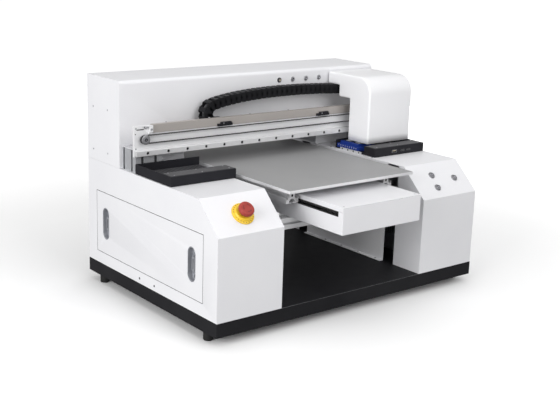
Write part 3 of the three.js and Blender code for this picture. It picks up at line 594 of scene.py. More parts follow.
def make_piece(name: str, body: str | None, parts: Parts, bevel: float = 0.0,
               segments: int = 2, smooth: float = 40.0) -> bpy.types.Object:
    """Makes one piece of several surfaces and lets it ride on a CAD body.

    Args:
        name: the piece's name.
        body: the CAD body that it moves with, or None.
        parts: each surface with its finish.
        bevel: the width of the rounded edges, in metres, or 0 for none.
        segments: how many faces round each edge.
        smooth: edges sharper than this many degrees stay crisp.

    Returns:
        The new object, at the origin.
    """
    whole = joined([shape for shape, _ in parts])
    mesh = bpy.data.meshes.new(name)
    mesh.from_pydata(whole.points.tolist(), [], whole.faces)
    finishes = list(dict.fromkeys(finish for _, finish in parts))
    for finish in finishes:
        mesh.materials.append(finish.material())
    indices = np.concatenate([
        np.full(len(shape.faces), finishes.index(finish)) for shape, finish in parts
    ])
    mesh.polygons.foreach_set("material_index", indices.astype(np.int32))
    return dress(name, body, mesh, bevel, segments, smooth)


def dress(name: str, body: str | None, mesh: bpy.types.Mesh, bevel: float,
          segments: int, smooth: float) -> bpy.types.Object:
    """Turns a mesh into a smooth, edge-rounded piece on a body; see make_piece.

    Args:
        name: the piece's name.
        body: the CAD body that it moves with, or None.
        mesh: its mesh, with its materials.
        bevel: the width of the rounded edges, in metres, or 0 for none.
        segments: how many faces round each edge.
        smooth: edges sharper than this many degrees stay crisp.

    Returns:
        The new object.
    """
    mesh.validate()
    mesh.shade_smooth()
    mesh.set_sharp_from_angle(angle=math.radians(smooth))
    piece = bpy.data.objects.new(name, mesh)
    bpy.context.scene.collection.objects.link(piece)
    if bevel > 0:
        rounding = piece.modifiers.new("rounded edges", "BEVEL")
        rounding.width = bevel
        rounding.segments = segments
        rounding.limit_method = "ANGLE"
        rounding.angle_limit = math.radians(32)
        rounding.harden_normals = True
        rounding.miter_outer = "MITER_ARC"
    if body:
        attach(piece, body)
    log.info("%s on %s: %d faces", name, body or "two bodies", len(mesh.polygons))
    return piece


def body_of(node: str) -> str:
    """The CAD body that a node belongs to."""
    bodies = frame["record"]["behaviour"]["bodies"]
    return next(body for body, members in bodies.items() if node in members)


def stand_in(node: str, parts: Parts, bevel: float = 0.0, segments: int = 2,
             smooth: float = 40.0) -> bpy.types.Object:
    """Makes one piece that stands for a CAD node, on the node's own body.

    Args:
        node: the CAD node.
        parts: each surface with its finish.
        bevel: the width of the rounded edges, in metres, or 0 for none.
        segments: how many faces round each edge.
        smooth: edges sharper than this many degrees stay crisp.

    Returns:
        The new object.
    """
    piece = make_piece(f"{node}_look", body_of(node), parts, bevel, segments, smooth)
    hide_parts(node)
    return piece


def softened(node: str, finish: Finish, bevel: float, segments: int = 3,
             smooth: float = 32.0, tuck: Sequence[float] = (1.0, 1.0, 1.0)) -> bpy.types.Object:
    """Stands for a CAD node with the same shape, its edges rounded as folded or moulded ones are.

    The node's triangles are merged and its flat faces made whole before the edges are rounded.

    Args:
        node: the CAD node.
        finish: the finish that covers it.
        bevel: the width of the rounded edges, in metres.
        segments: how many faces round each edge.
        smooth: edges sharper than this many degrees stay crisp.
        tuck: how much it is drawn in on each axis, to leave room for screw heads outside.

    Returns:
        The new object.
    """
    work = bmesh.new()
    work.from_mesh(NODES[node].data)
    bmesh.ops.remove_doubles(work, verts=work.verts, dist=2e-6)
    bmesh.ops.dissolve_limit(
        work, angle_limit=math.radians(0.5), verts=work.verts, edges=work.edges,
    )
    bmesh.ops.recalc_face_normals(work, faces=work.faces)
    bmesh.ops.scale(work, vec=tuck, verts=work.verts)
    mesh = bpy.data.meshes.new(f"{node}_look")
    work.to_mesh(mesh)
    work.free()
    mesh.materials.clear()
    mesh.materials.append(finish.material())
    piece = dress(f"{node}_look", body_of(node), mesh, bevel, segments, smooth)
    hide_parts(node)
    return piece


def facing(centre: Sequence[float], out: Sequence[float]) -> Matrix:
    """The place of a fitting on a surface: its Z runs along out, its origin is at centre."""
    turn = Vector(out).to_track_quat("Z", "Y").to_matrix().to_4x4()
    return Matrix.Translation(Vector(centre)) @ turn


def on_slope(centre: Sequence[float], out: Sequence[float]) -> Matrix:
    """As facing, with X kept level along the row's X axis."""
    side, normal = Vector((1, 0, 0)), Vector(out).normalized()
    return framed(centre, side, normal.cross(side), normal)


def framed(centre: Sequence[float], x_axis: Sequence[float], y_axis: Sequence[float],
           z_axis: Sequence[float]) -> Matrix:
    """The place with the given origin and axes."""
    turn = Matrix((x_axis, y_axis, z_axis)).transposed().to_4x4()
    return Matrix.Translation(Vector(centre)) @ turn


def seat_of(node: str, out: Sequence[float]) -> np.ndarray:
    """The middle of a turned CAD node's rearmost face, seen against the direction out.

    Args:
        node: the CAD node.
        out: the direction away from that face.

    Returns:
        The middle of the face's corners.
    """
    mesh = NODES[node].data
    points = np.empty(len(mesh.vertices) * 3)
    mesh.vertices.foreach_get("co", points)
    points = points.reshape(-1, 3)
    level = points @ np.array(out, float)
    return points[level < level.min() + 0.0001].mean(axis=0)


def press_direction(joint: str) -> np.ndarray:
    """The way out of the panel for a push joint, whose own axis points into it."""
    found = next(entry for entry in frame["record"]["behaviour"]["joints"]
                 if entry["name"] == joint)
    return -np.array(found["axis"], float)


def obround_outline(across: float, tall: float, steps: int = 10) -> np.ndarray:
    """A slot with round ends, upright and centred: a rounded outline with the full radius."""
    return rounded_outline(across, tall, across / 2 - 1e-6, steps)


def dished(outline: np.ndarray, levels: Sequence[tuple[float, float]],
           closed: bool = True) -> Shape:
    """Rings of one outline at changing size and height, such as a pan or a button's dome.

    Each ring is the outline moved inwards by its inset, towards the middle, at its height.

    Args:
        outline: (n, 2) points round the origin.
        levels: (inset, height) for each ring, from the outer rim inwards.
        closed: whether the last ring is closed with a flat face.

    Returns:
        The surface, seen from +Z.
    """
    reach = np.linalg.norm(outline, axis=1)
    rings = []
    for inset, height in levels:
        share = np.clip(1 - inset / np.abs(outline).max(axis=0).min(), 0.01, None)
        shrink = np.clip(1 - inset / reach, 0.01, None)
        ring = outline * np.where(reach > 0, shrink, share)[:, None]
        rings.append(np.column_stack([ring, np.full(len(ring), height)]))
    wall = grid(np.stack(rings)[:, ::-1], wrap_columns=True)
    return floored(wall, len(outline)) if closed else wall


def floored(wall: Shape, count: int) -> Shape:
    """A wall whose rings of count points run clockwise, its last ring closed with a face."""
    last = range(len(wall.points) - count, len(wall.points))
    return Shape(wall.points, wall.faces + [tuple(last)[::-1]])


def tube(path: np.ndarray, radius: float, sides: int = 10) -> Shape:
    """A round tube along a path of points.

    Each ring is radius times (cos, sin) of the angle, in the plane across the path there. The
    plane's first axis is the one that turns least from ring to ring.

    Args:
        path: (n, 3) points.
        radius: the tube's radius.
        sides: how many steps make the full turn.

    Returns:
        A closed surface.
    """
    ahead = np.gradient(path, axis=0)
    ahead /= np.linalg.norm(ahead, axis=1, keepdims=True)
    helper = np.array([0.0, 1.0, 0.0]) if abs(ahead[:, 1]).max() < 0.9 else np.array([1.0, 0, 0])
    side = np.cross(ahead, helper)
    side /= np.linalg.norm(side, axis=1, keepdims=True)
    up = np.cross(side, ahead)
    angle = np.linspace(0, 2 * np.pi, sides, endpoint=False)
    ring = (np.cos(angle)[:, None] * side[:, None, :] + np.sin(angle)[:, None] * up[:, None, :])
    wall = grid(path[:, None, :] + radius * ring, wrap_columns=True)
    return wall.turned_over().closed(sides)


def slotted_outline(width: float, height: float, count_x: int, count_y: int) -> np.ndarray:
    """The section of an extruded profile with T-slots, counter-clockwise, from its low corner.

    Along each side the outline drops into each slot: in through the narrow mouth, out sideways
    behind the lips, and down a slanted wall to the slot's floor. The slot's points are shares
    of the distance from one slot to the next.

    Args:
        width: its size on the first axis.
        height: its size on the second.
        count_x: how many slots its first and third side have.
        count_y: how many slots the other two have.

    Returns:
        The outline as (n, 2) points.
    """
    slot = np.array([
        (-0.102, 0), (-0.102, 0.045), (-0.250, 0.045), (-0.250, 0.112), (-0.115, 0.287),
        (0.115, 0.287), (0.250, 0.112), (0.250, 0.045), (0.102, 0.045), (0.102, 0),
    ])
    sides = []
    corner, ahead = np.zeros(2), np.array([1.0, 0.0])
    for length, count in ((width, count_x), (height, count_y), (width, count_x),
                          (height, count_y)):
        inwards = np.array([-ahead[1], ahead[0]])
        cell = length / count
        along = (np.arange(count)[:, None] + 0.5 + slot[None, :, 0]) * cell
        deep = np.broadcast_to(slot[None, :, 1] * cell, along.shape)
        side = corner + along.reshape(-1, 1) * ahead + deep.reshape(-1, 1) * inwards
        sides.append(np.vstack([corner[None, :], side]))
        corner, ahead = corner + length * ahead, inwards
    return np.vstack(sides)


def bored_cell(low: Sequence[float], high: Sequence[float],
               bore: Sequence[tuple[float, float]], sides: int = 24) -> Shape:
    """A flat oblong with a stepped hole in its middle, seen from +Z at height 0.

    The outermost ring lies on the oblong's edge, in the same directions as the circle's points;
    the others are circles.

    Args:
        low: the oblong's low corner (x, y).
        high: its high corner.
        bore: (radius, height) of each circle, from the edge of the hole down.
        sides: how many steps make the full turn, a multiple of 8.

    Returns:
        The surface, with the hole's floor closed.
    """
    middle = (np.array(low) + np.array(high)) / 2
    half = (np.array(high) - np.array(low)) / 2
    angle = np.linspace(0, 2 * np.pi, sides, endpoint=False) + np.pi / 4
    unit = np.column_stack([np.cos(angle), np.sin(angle)])
    square = unit / np.abs(unit).max(axis=1, keepdims=True) * half
    rings = [np.column_stack([square, np.zeros(sides)])]
    rings += [np.column_stack([unit * r, np.full(sides, h)]) for r, h in bore]
    points = np.stack(rings) + np.array([*middle, 0.0])
    return floored(grid(points[:, ::-1], wrap_columns=True), sides)


# ---- screws


class Head(Enum):
    """Screw heads: their height and socket as shares of the head's radius."""

    BUTTON = (0.55, 0.42)
    CAP = (1.15, 0.55)
    FLUSH = (0.12, 0.5)


@dataclass
class Screws:
    """All screws of the machine, gathered by body and finish, and made as one piece each."""

    gathered: dict[tuple[str, str], list[Shape]] = field(default_factory=dict)

    def template(self, radius: float, head: Head) -> Shape:
        """A head with a six-sided socket, standing on Z = 0.

        The outer rings are circles; the socket's rings use the radius of a hexagon, which is
        its inner radius divided by the cosine of the angle from the nearest flat's middle.

        Args:
            radius: the head's radius.
            head: its form.

        Returns:
            The head, open at its foot.
        """
        rise, socket = head.value
        top = radius * rise
        angle = np.linspace(0, 2 * np.pi, 24, endpoint=False)
        hexagon = 1 / np.cos((angle + np.pi / 6) % (np.pi / 3) - np.pi / 6)
        round_edge = 0.3 if head is Head.CAP else 0.62
        size, level, six = np.array([
            (1.0, 0.0, 0), (1.0, top * (1 - round_edge), 0), (0.93, top * 0.86, 0),
            (0.8, top, 0), (socket, top, 1), (socket * 0.97, top * 0.25, 1)]).T[..., None]
        rings = round_rings(radius * size * np.where(six, hexagon, 1), level, angle)
        return grid(rings, wrap_columns=True).closed(len(angle), under=False)

    def add(self, body: str, centre: Sequence[float], out: Sequence[float], radius: float,
            head: Head = Head.BUTTON, finish: Finish = SCREW_STEEL) -> None:
        """Puts one screw in.

        Args:
            body: the CAD body that it moves with.
            centre: the middle of its seat, in metres.
            out: the direction from the seat to the head.
            radius: the head's radius.
            head: the form of the head.
            finish: its finish.
        """
        shape = self.template(radius, head).placed(facing(centre, out))
        self.gathered.setdefault((body, finish.name), []).append(shape)

    def build(self) -> None:
        """Makes one piece for each body and finish."""
        finishes = {entry.name: entry for entry in (SCREW_STEEL, DARK_STEEL)}
        for (body, name), shapes in self.gathered.items():
            make_piece(f"screws_{body}_{name}", body, [(joined(shapes), finishes[name])],
                       smooth=35)


SCREWS = Screws()

# ---- base and side covers

HALF_WIDTH, HALF_DEPTH = (float(reach) for reach in CAD_BOUNDS[1][:2])
HEAD_ROOM = 0.0004
OUTER_TUCK = (1 - HEAD_ROOM / HALF_WIDTH, 1 - HEAD_ROOM / HALF_DEPTH, 1.0)
OUTER_FACE = HALF_WIDTH - HEAD_ROOM


@dataclass
class Base:
    """The black pan with its feet, the bright hems, and a painted highlight along its front edge.
    """

    pan_edge: float = 0.0014
    foot_groove: float = 0.0012
    hem_height: float = 0.0016

    def build(self) -> None:
        """Makes the pan, the hems, the painted highlight on the front edge and the four feet."""
        softened("base_tray", BLACK_PAINT, self.pan_edge)
        self.hem()
        self.lit_edge()
        for place in ("front_left", "front_right", "back_left", "back_right"):
            self.foot(f"foot_{place}")

    def hem(self) -> None:
        """A folded hem between the pan and the covers' feet, at both front corners."""
        for side in Side:
            low, high = corners_of(f"{side.word}_cover")
            top = corners_of("base_tray")[1][2]
            strip = block((low[0] + 0.001, low[1] + 0.0006, top - 0.0002),
                          (high[0] - 0.001, low[1] + 0.004, top + self.hem_height))
            make_piece(f"{side.word}_cover_hem", "root", [(strip, WHITE_PAINT)], 0.0004)

    def lit_edge(self) -> None:
        """The pan's folded front edge between the covers, with a painted highlight along its fold.
        """
        low, high = corners_of("base_tray")
        x0, x1 = corners_of("left_cover")[1][0], corners_of("right_cover")[0][0]
        # Painted highlight: a lighter strip on the fold stands in for the light caught by the edge.
        fold = block((x0, low[1] + 0.0001, high[2] - 0.0007),
                     (x1, low[1] + 0.0011, high[2] + 0.0002))
        make_piece("base_front_edge", "root", [(fold, PAINTED_HIGHLIGHT_EDGE)], 0.0003)

    def foot(self, node: str) -> None:
        """A rubber foot: a flared, grooved body with a hollow sole round a sunk screw.

        Args:
            node: the CAD foot.
        """
        low, high = corners_of(node)
        x, y = (low[:2] + high[:2]) / 2
        r, top = (high[0] - low[0]) / 2, high[2]
        g = self.foot_groove
        body = turned([
            (r * 0.34, 0.004), (r * 0.62, 0.004), (r * 0.64, 0.0002), (r * 0.9, 0.0),
            (r, 0.0022), (r, 0.006), (r - g, 0.0068), (r - g, 0.0082), (r, 0.009),
            (r * 0.97, top * 0.8), (r * 0.9, top),
        ], 40).moved(x, y)
        stand_in(node, [(body, RUBBER_AND_SEAM_SHADE)], 0.0003, smooth=50)
        SCREWS.add("root", (x, y, 0.0042), DOWN, r * 0.3, Head.BUTTON, SCREW_STEEL)


@dataclass
class SideCover:
    """One white side cover with its inner panel, its door and the screws that hold them."""

    side: Side
    edge: float = 0.0011
    grip_depth: float = 0.0128
    grip_inset: float = 0.050
    grip_size: tuple[float, float] = (0.0335, 0.0895)
    seam_reach: float = 0.0007
    seam_depth: float = 0.0018
    vent_rows: int = 9

    def build(self) -> None:
        """Makes the cover, inner panel, door, the painted shade in the door's seam, grips, screws
        and rear vents.
        """
        name = self.side.word
        softened(f"{name}_cover", WHITE_PAINT, self.edge, tuck=OUTER_TUCK)
        softened(f"{name}_inner_panel", INNER_PAINT, 0.0005)
        softened(f"{name}_door", WHITE_PAINT, 0.0007, tuck=OUTER_TUCK)
        self.seal()
        self.grips()
        self.screws()
        self.rear_vents()

    def seal(self) -> None:
        """Painted shade: a dark strip round the door, in the seam between door and cover, standing
        in for the shade in the gap.
        """
        low, high = corners_of(f"{self.side.word}_door")
        out, reach = self.side.value, self.seam_reach
        outer = out * max(abs(low[0]), abs(high[0])) * OUTER_TUCK[0]
        x0, x1 = sorted((outer + out * 0.00005, outer - out * self.seam_depth))
        long_y, long_z = (low[1] - reach, high[1] + reach), (low[2] - reach, high[2] + reach)
        # Painted shade: black strips fill the seam where there is only the gap's shade.
        parts = []
        for z in (low[2], high[2]):
            strip = block((x0, long_y[0], z - reach), (x1, long_y[1], z + reach))
            parts.append((strip, RUBBER_AND_SEAM_SHADE))
        for y in (low[1], high[1]):
            strip = block((x0, y - reach, long_z[0]), (x1, y + reach, long_z[1]))
            parts.append((strip, RUBBER_AND_SEAM_SHADE))
        make_piece(f"{self.side.word}_door_seal", f"{self.side.word}_door", parts)

    def grips(self) -> None:
        """Lines both door cups with a grey pan and puts a lever bar inside each, with a black slot
        of painted shade on the lever.
        """
        node, out = f"{self.side.word}_door", self.side.value
        low, high = corners_of(node)
        face = out * OUTER_FACE
        z = (low[2] + high[2]) / 2
        across, tall = self.grip_size
        parts: Parts = []
        for y in (low[1] + self.grip_inset, high[1] - self.grip_inset):
            place = on_side((face, y, z), out)
            pan = dished(obround_outline(across, tall), [
                (0.0, -0.0003), (0.0008, 0.0001), (0.0022, 0.0001), (0.0032, -0.0012),
                (0.0036, -self.grip_depth + 0.002), (0.0052, -self.grip_depth),
                (0.0060, -self.grip_depth)])
            parts.append((pan.placed(place), GRIP_GREY))
            lever = prism(rounded_outline(0.0125, tall * 0.42, 0.004), -self.grip_depth, -0.005)
            parts.append((lever.placed(place), GRIP_GREY))
            # Painted shade: the lever's slot is a thin black block.
            slot = prism(rounded_outline(0.0016, tall * 0.3, 0.0007), -0.0052, -0.0045)
            parts.append((slot.placed(place), BLACK_PLASTIC_AND_HOLE_SHADE))
            for share in (-0.36, 0.36):
                seat = (face - out * self.grip_depth, y, z + share * tall)
                SCREWS.add(node, seat, (out, 0, 0), 0.0042)
        make_piece(f"{node}_grips", node, parts, 0.0006, 2)

    def screws(self) -> None:
        """Small screws on the outer side, the inner flange and the top's inner edge."""
        name, out = self.side.word, self.side.value
        low, high = corners_of(f"{name}_cover")
        face = out * OUTER_FACE
        for y in (0.327, 0.249):
            for z in (0.499, 0.381):
                SCREWS.add("root", (face, y, z), (out, 0, 0), 0.0024, Head.FLUSH)
        for y in (0.085, 0.012):
            SCREWS.add("root", (face, y, 0.075), (out, 0, 0), 0.0032, Head.FLUSH, DARK_STEEL)
        inner = high[0] if out < 0 else low[0]
        base = corners_of(f"{name}_inner_panel")
        for y in (0.121, 0.048, -0.026, -0.100):
            flange = inner - out * 0.006
            SCREWS.add("root", (flange, y, base[0][2] + 0.002), UP, 0.0032)
        for y in (0.127, 0.079, -0.019, -0.053):
            SCREWS.add("root", (inner + out * 0.004, y, high[2]), UP, 0.0019,
                       Head.BUTTON, DARK_STEEL)

    def rear_vents(self) -> None:
        """Rows of pressed louvres low on the cover's back: each a half-round hood over a slot, the
        slot a flat black patch of painted shade.

        A louvre is a row of points that swell outwards by the sine of the share of its width,
        from nothing at its upper edge to the full depth at its lower lip.
        """
        name = self.side.word
        low, high = corners_of(f"{name}_cover")
        middle = (low[0] + high[0]) / 2 + self.side.value * -0.02
        back = high[1] * OUTER_TUCK[1]
        across, pitch, tall, deep = 0.092, 0.0125, 0.0068, 0.0003
        share_x, share_z = np.meshgrid(np.linspace(0, 1, 25), np.linspace(0, 1, 9))
        swell = deep * np.sin(np.pi * share_x) ** 0.35 * share_z ** 1.4
        points = np.stack([-(share_x - 0.5) * across, swell, -share_z * tall], -1)
        hood = grid(points)
        # Painted shade: the louvre's opening is a flat black block.
        slot = block((-across * 0.48, -0.0002, -tall - 0.0022), (across * 0.48, 0.0001, -tall))
        parts: Parts = []
        for row in range(self.vent_rows):
            z = high[2] - 0.055 - row * pitch
            parts.append((hood.moved(middle, back, z), WHITE_PAINT))
            parts.append((slot.moved(middle, back, z), BLACK_PLASTIC_AND_HOLE_SHADE))
        make_piece(f"{name}_rear_vents", "root", parts)


def on_side(centre: Sequence[float], out: int) -> Matrix:
    """The place of a fitting on a side wall: X along the row's Y, Y upwards, Z outwards."""
    return framed(centre, (0, out, 0), UP, (out, 0, 0))


# ---- buttons


@dataclass
class StopSwitch:
    """The emergency stop: a yellow disc with marks, a black collar and a red mushroom head."""

    marks: int = 22
    mark_radius: float = 0.0264

    def build(self) -> None:
        """Makes the disc and the head on the slope's own axes."""
        out = press_direction("stop_press")
        seat = seat_of("stop_ring", out)
        place = on_slope(seat, out)
        disc = turned([
            (0.0084, 0.0), (0.0299, 0.0), (0.0300, 0.0016), (0.0294, 0.0030), (0.0280, 0.0038),
            (0.0240, 0.0042), (0.0232, 0.0050), (0.0226, 0.0074), (0.0216, 0.0084),
            (0.0200, 0.0087), (0.0124, 0.0087), (0.0112, 0.0072), (0.0084, 0.0070),
        ], 64).placed(place)
        parts: Parts = [(disc, YELLOW_PLASTIC)]
        mark = prism(rounded_outline(0.0030, 0.0011, 0.0004, 3), 0.0034, 0.0044)
        for index in range(self.marks):
            share = index / self.marks
            if abs((share * 4) % 1 - 0.5) > 0.42:
                continue
            turn = Matrix.Rotation(2 * math.pi * share, 4, "Z")
            along = Matrix.Translation((self.mark_radius, 0, 0))
            parts.append((mark.placed(place @ turn @ along), BLACK_PLASTIC_AND_HOLE_SHADE))
        collar = turned([(0.0086, 0.0068), (0.0128, 0.0068), (0.0128, 0.0090), (0.0118, 0.0094),
                         (0.0086, 0.0094)], 40).placed(place)
        parts.append((collar, BLACK_PLASTIC_AND_HOLE_SHADE))
        stand_in("stop_ring", parts, 0.0003, smooth=45)
        self.head(place)

    def head(self, place: Matrix) -> None:
        """The mushroom: a fluted rim whose radius ripples with the angle, and a dished top.

        Radius = profile radius times (1 - ripple * (0.5 + 0.5 * cos(24 * angle))), where only the
        rim's rings have a ripple.

        Args:
            place: where the switch stands on the slope.
        """
        seat = -0.0003
        stem = turned([(0.0078, seat - 0.012), (0.0078, 0.0148)], 32).placed(place)
        profile = np.array([
            (0.0082, 0.0146), (0.0168, 0.0146), (0.0190, 0.0160), (0.0199, 0.0184),
            (0.0200, 0.0212), (0.0199, 0.0236), (0.0193, 0.0257), (0.0180, 0.0269),
            (0.0160, 0.0276), (0.0130, 0.0277), (0.0070, 0.0272), (0.0012, 0.0270),
        ])
        rippled = np.array([0, 0, 0.006, 0.012, 0.014, 0.012, 0.006, 0, 0, 0, 0, 0])
        angle = np.linspace(0, 2 * np.pi, 96, endpoint=False)
        radius = profile[:, :1] * (1 - rippled[:, None] * (0.5 + 0.5 * np.cos(24 * angle)))
        rings = round_rings(radius, profile[:, 1], angle)
        cap = grid(rings, wrap_columns=True).closed(len(angle)).placed(place)
        parts = [(cap, RED_PLASTIC), (stem, DARK_RED)]
        arrow = self.arrow()
        for index in range(3):
            turn = Matrix.Rotation(index * 2 * math.pi / 3, 4, "Z")
            parts.append((arrow.placed(place @ turn), DARK_RED))
        stand_in("stop_head", parts)

    def arrow(self) -> Shape:
        """One curved turning mark on the top: a band of an arc that widens into a point.

        Returns:
            The mark on the head's own axes.
        """
        angle = np.linspace(0.15, 1.35, 16)
        half = np.where(angle > 1.0, 0.0026 * (1.35 - angle) / 0.35, 0.0010) + 0.00002
        rows = [np.column_stack([(0.0105 + sign * half) * np.cos(angle),
                                 (0.0105 + sign * half) * np.sin(angle),
                                 np.full(16, 0.02785)]) for sign in (1, -1)]
        low = [row - np.array([0, 0, 0.0006]) for row in rows]
        return grid(np.stack([low[1], rows[1], rows[0], low[0]])[::-1])


@dataclass
class PushButtons:
    """The round metal buttons on the right slope and on the hood, each in its own ring."""

    ring_width: float = 0.0024
    travel_gap: float = 0.0004

    def build(self) -> None:
        """Makes each button and its ring."""
        for index in (1, 2, 3):
            self.button(f"slope_button_{index}", 0.012, LIT_STEEL, SCREW_STEEL)
        for index in (1, 2, 3, 4):
            first = index == 1
            self.button(f"hood_button_{index}", 0.010, BEIGE_PLASTIC if first else LIT_STEEL,
                        BLACK_PLASTIC_AND_HOLE_SHADE if first else SCREW_STEEL)

    def button(self, node: str, stem: float, face: Finish, rim: Finish) -> None:
        """A dished plunger whose face is a brighter steel as a painted highlight, with a groove
        near its edge painted black as painted shade and a painted dark reflection, and a stepped
        ring on the panel.

        Args:
            node: the CAD plunger, also its body's name.
            stem: how far the plunger reaches behind the panel.
            face: the finish of its face.
            rim: the finish of the ring.
        """
        out = press_direction(f"{node}_press")
        seat = seat_of(node, out)
        place = on_slope(seat + out * stem, out)
        mesh = NODES[node].data
        levels = np.array([vertex.co for vertex in mesh.vertices]) @ out
        top = float(levels.max() - levels.min()) - stem
        spread = np.array([vertex.co for vertex in mesh.vertices]) - seat
        r = float(np.linalg.norm(spread - np.outer(spread @ out, out), axis=1).max())
        plunger = turned([
            (r * 0.94, -stem), (r * 0.97, top * 0.3), (r * 0.96, top * 0.8), (r * 0.9, top),
            (r * 0.78, top),
        ], 48, over=False).placed(place)
        # Painted shade and painted reflection: the groove is coloured black.
        groove = turned([(r * 0.79, top - 0.0012), (r * 0.79, top - 0.0005),
                         (r * 0.62, top - 0.0005)], 48).placed(place)
        dish = turned([(r * 0.62, top - 0.0012), (r * 0.61, top - 0.0001), (r * 0.4, top - 0.0003),
                       (r * 0.12, top - 0.0004)], 48).placed(place)
        stand_in(node, [
            (plunger, SCREW_STEEL), (groove, BLACK_PLASTIC_AND_HOLE_SHADE), (dish, face)], smooth=38)
        inner, w = r + self.travel_gap, self.ring_width
        ring = turned([
            (inner, -0.0004), (inner + w, -0.0004), (inner + w, 0.0008), (inner + w * 0.8, 0.0018),
            (inner + w * 0.3, 0.0021), (inner, 0.0016), (inner, -0.0004),
        ], 48, under=False, over=False).placed(place)
        make_piece(f"{node}_ring", "root", [(ring, rim)], smooth=38)


# ---- hood and back


@dataclass
class Hood:
    """The rear hood: its shell, and a back panel with fan grilles, vents and an inlet."""

    edge: float = 0.0011
    fan_radius: float = 0.046
    fan_reach: float = 0.31
    fan_height: float = 0.492
    fan_screw_circle: float = 0.058
    vent_slots: int = 14
    vent_pitch: float = 0.0125
    vent_height: float = 0.498

    def build(self) -> None:
        """Makes the shell and the back."""
        softened("hood_shell", WHITE_PAINT, self.edge, tuck=OUTER_TUCK)
        softened("hood_back_panel", WHITE_PAINT, 0.0005, tuck=OUTER_TUCK)
        self.fans()
        self.vents()
        self.inlet()
        low, high = corners_of("hood_back_panel")
        back = high[1] * OUTER_TUCK[1]
        for x in np.linspace(low[0] + 0.012, high[0] - 0.012, 7):
            for z in (low[2] + 0.010, high[2] - 0.010):
                if z > 0.45 or abs(x) > 0.26:
                    SCREWS.add("root", (x, back - 0.0001, z), REAR, 0.0028, Head.FLUSH)

    def fans(self) -> None:
        """Two round grilles: a dark disc under rings and spokes of wire, flush with the panel; the
        disc stands for the black fan and is painted shade for the space behind the grille.
        """
        back = corners_of("hood_back_panel")[1][1] * OUTER_TUCK[1]
        parts: Parts = []
        for x in (-self.fan_reach, self.fan_reach):
            place = facing((x, back, self.fan_height), REAR)
            # Painted shade: the flat black disc stands for the fan and the shade behind the grille.
            disc = turned([(self.fan_radius, -0.0002), (self.fan_radius, 0.00003)], 64)
            parts.append((disc.placed(place), BLACK_PLASTIC_AND_HOLE_SHADE))
            for radius in np.linspace(0.007, self.fan_radius + 0.001, 7):
                ring = turned([(radius - 0.0008, 0.0), (radius + 0.0008, 0.0),
                               (radius + 0.0006, 0.00035), (radius - 0.0006, 0.00035),
                               (radius - 0.0008, 0.0)], 64, under=False, over=False)
                parts.append((ring.placed(place), GRIP_GREY))
            spoke = block((0.005, -0.0010, 0.0), (self.fan_radius + 0.002, 0.0010, 0.0003))
            for quarter in range(4):
                spin = Matrix.Rotation(quarter * math.pi / 2 + 0.4, 4, "Z")
                parts.append((spoke.placed(place @ spin), GRIP_GREY))
                spin = Matrix.Rotation(quarter * math.pi / 2 + math.pi / 4, 4, "Z")
                seat = place @ spin @ Vector((self.fan_screw_circle, 0, -0.0001))
                SCREWS.add("root", seat, REAR, 0.0030, Head.FLUSH)
        make_piece("hood_fan_grilles", "root", parts, smooth=40)

    def vents(self) -> None:
        """A row of upright slots with round ends between the two grilles, each a flat black patch
        of painted shade inside a white lip.
        """
        back = corners_of("hood_back_panel")[1][1] * OUTER_TUCK[1]
        # Painted shade: the slot is a flat black patch where the opening's shade would be.
        slot = prism(rounded_outline(0.0042, 0.046, 0.002), -0.0003, 0.00006)
        lip = dished(rounded_outline(0.0062, 0.048, 0.003), [
            (0.0, 0.0), (0.0004, 0.0003), (0.0009, 0.0001), (0.0010, 0.0)], closed=False)
        parts: Parts = []
        for x in (np.arange(self.vent_slots) - (self.vent_slots - 1) / 2) * self.vent_pitch:
            place = Matrix.Translation((x, back, self.vent_height)) @ BACKWARDS
            parts += [(slot.placed(place), BLACK_PLASTIC_AND_HOLE_SHADE), (lip.placed(place), WHITE_PAINT)]
        make_piece("hood_rear_vents", "root", parts)

    def inlet(self) -> None:
        """The mains inlet: a framed socket with three flat pins and a rocker beside it."""
        low, high = corners_of("power_inlet")
        x, z = (low[0] + high[0]) / 2, (low[2] + high[2]) / 2
        back = high[1]
        place = Matrix.Translation((x, back, z)) @ BACKWARDS
        width, height = high[0] - low[0], high[2] - low[2]
        frame_shape = prism(rounded_outline(width, height, 0.003), low[1] - back, -0.0014)
        rim = dished(rounded_outline(width, height, 0.003), [
            (0.0, -0.0016), (0.0003, -0.0004), (0.0012, 0.0), (0.0026, 0.0), (0.0030, -0.0006)])
        parts = [(frame_shape.placed(place), BLACK_PLASTIC_AND_HOLE_SHADE), (rim.placed(place), BLACK_PLASTIC_AND_HOLE_SHADE)]
        rocker_axis = Matrix.Translation((0.014, 0, 0))
        rocker = dished(rounded_outline(0.010, 0.019, 0.0015), [
            (0.0, -0.0008), (0.0002, -0.0001), (0.0010, -0.0001)])
        parts.append((rocker.placed(place @ rocker_axis), RED_PLASTIC))
        socket = dished(rounded_outline(0.024, 0.018, 0.004), [
            (0.0, -0.0003), (0.0005, -0.0001), (0.0012, -0.0002), (0.0016, -0.0005)])
        parts.append((socket.placed(place @ Matrix.Translation((-0.008, 0, 0))), DARK_PLASTIC))
        for dx, dz in ((-0.015, -0.003), (-0.008, 0.003), (-0.001, -0.003)):
            pin = prism(rounded_outline(0.0020, 0.0062, 0.0004), -0.0006, -0.0001)
            pin = pin.placed(place @ Matrix.Translation((dx, dz, 0)))
            parts.append((pin, SCREW_STEEL))
        stand_in("power_inlet", parts, 0.0002)


BACKWARDS = Matrix(((-1, 0, 0, 0), (0, 0, 1, 0), (0, 1, 0, 0), (0, 0, 0, 1)))


# ---- gantry


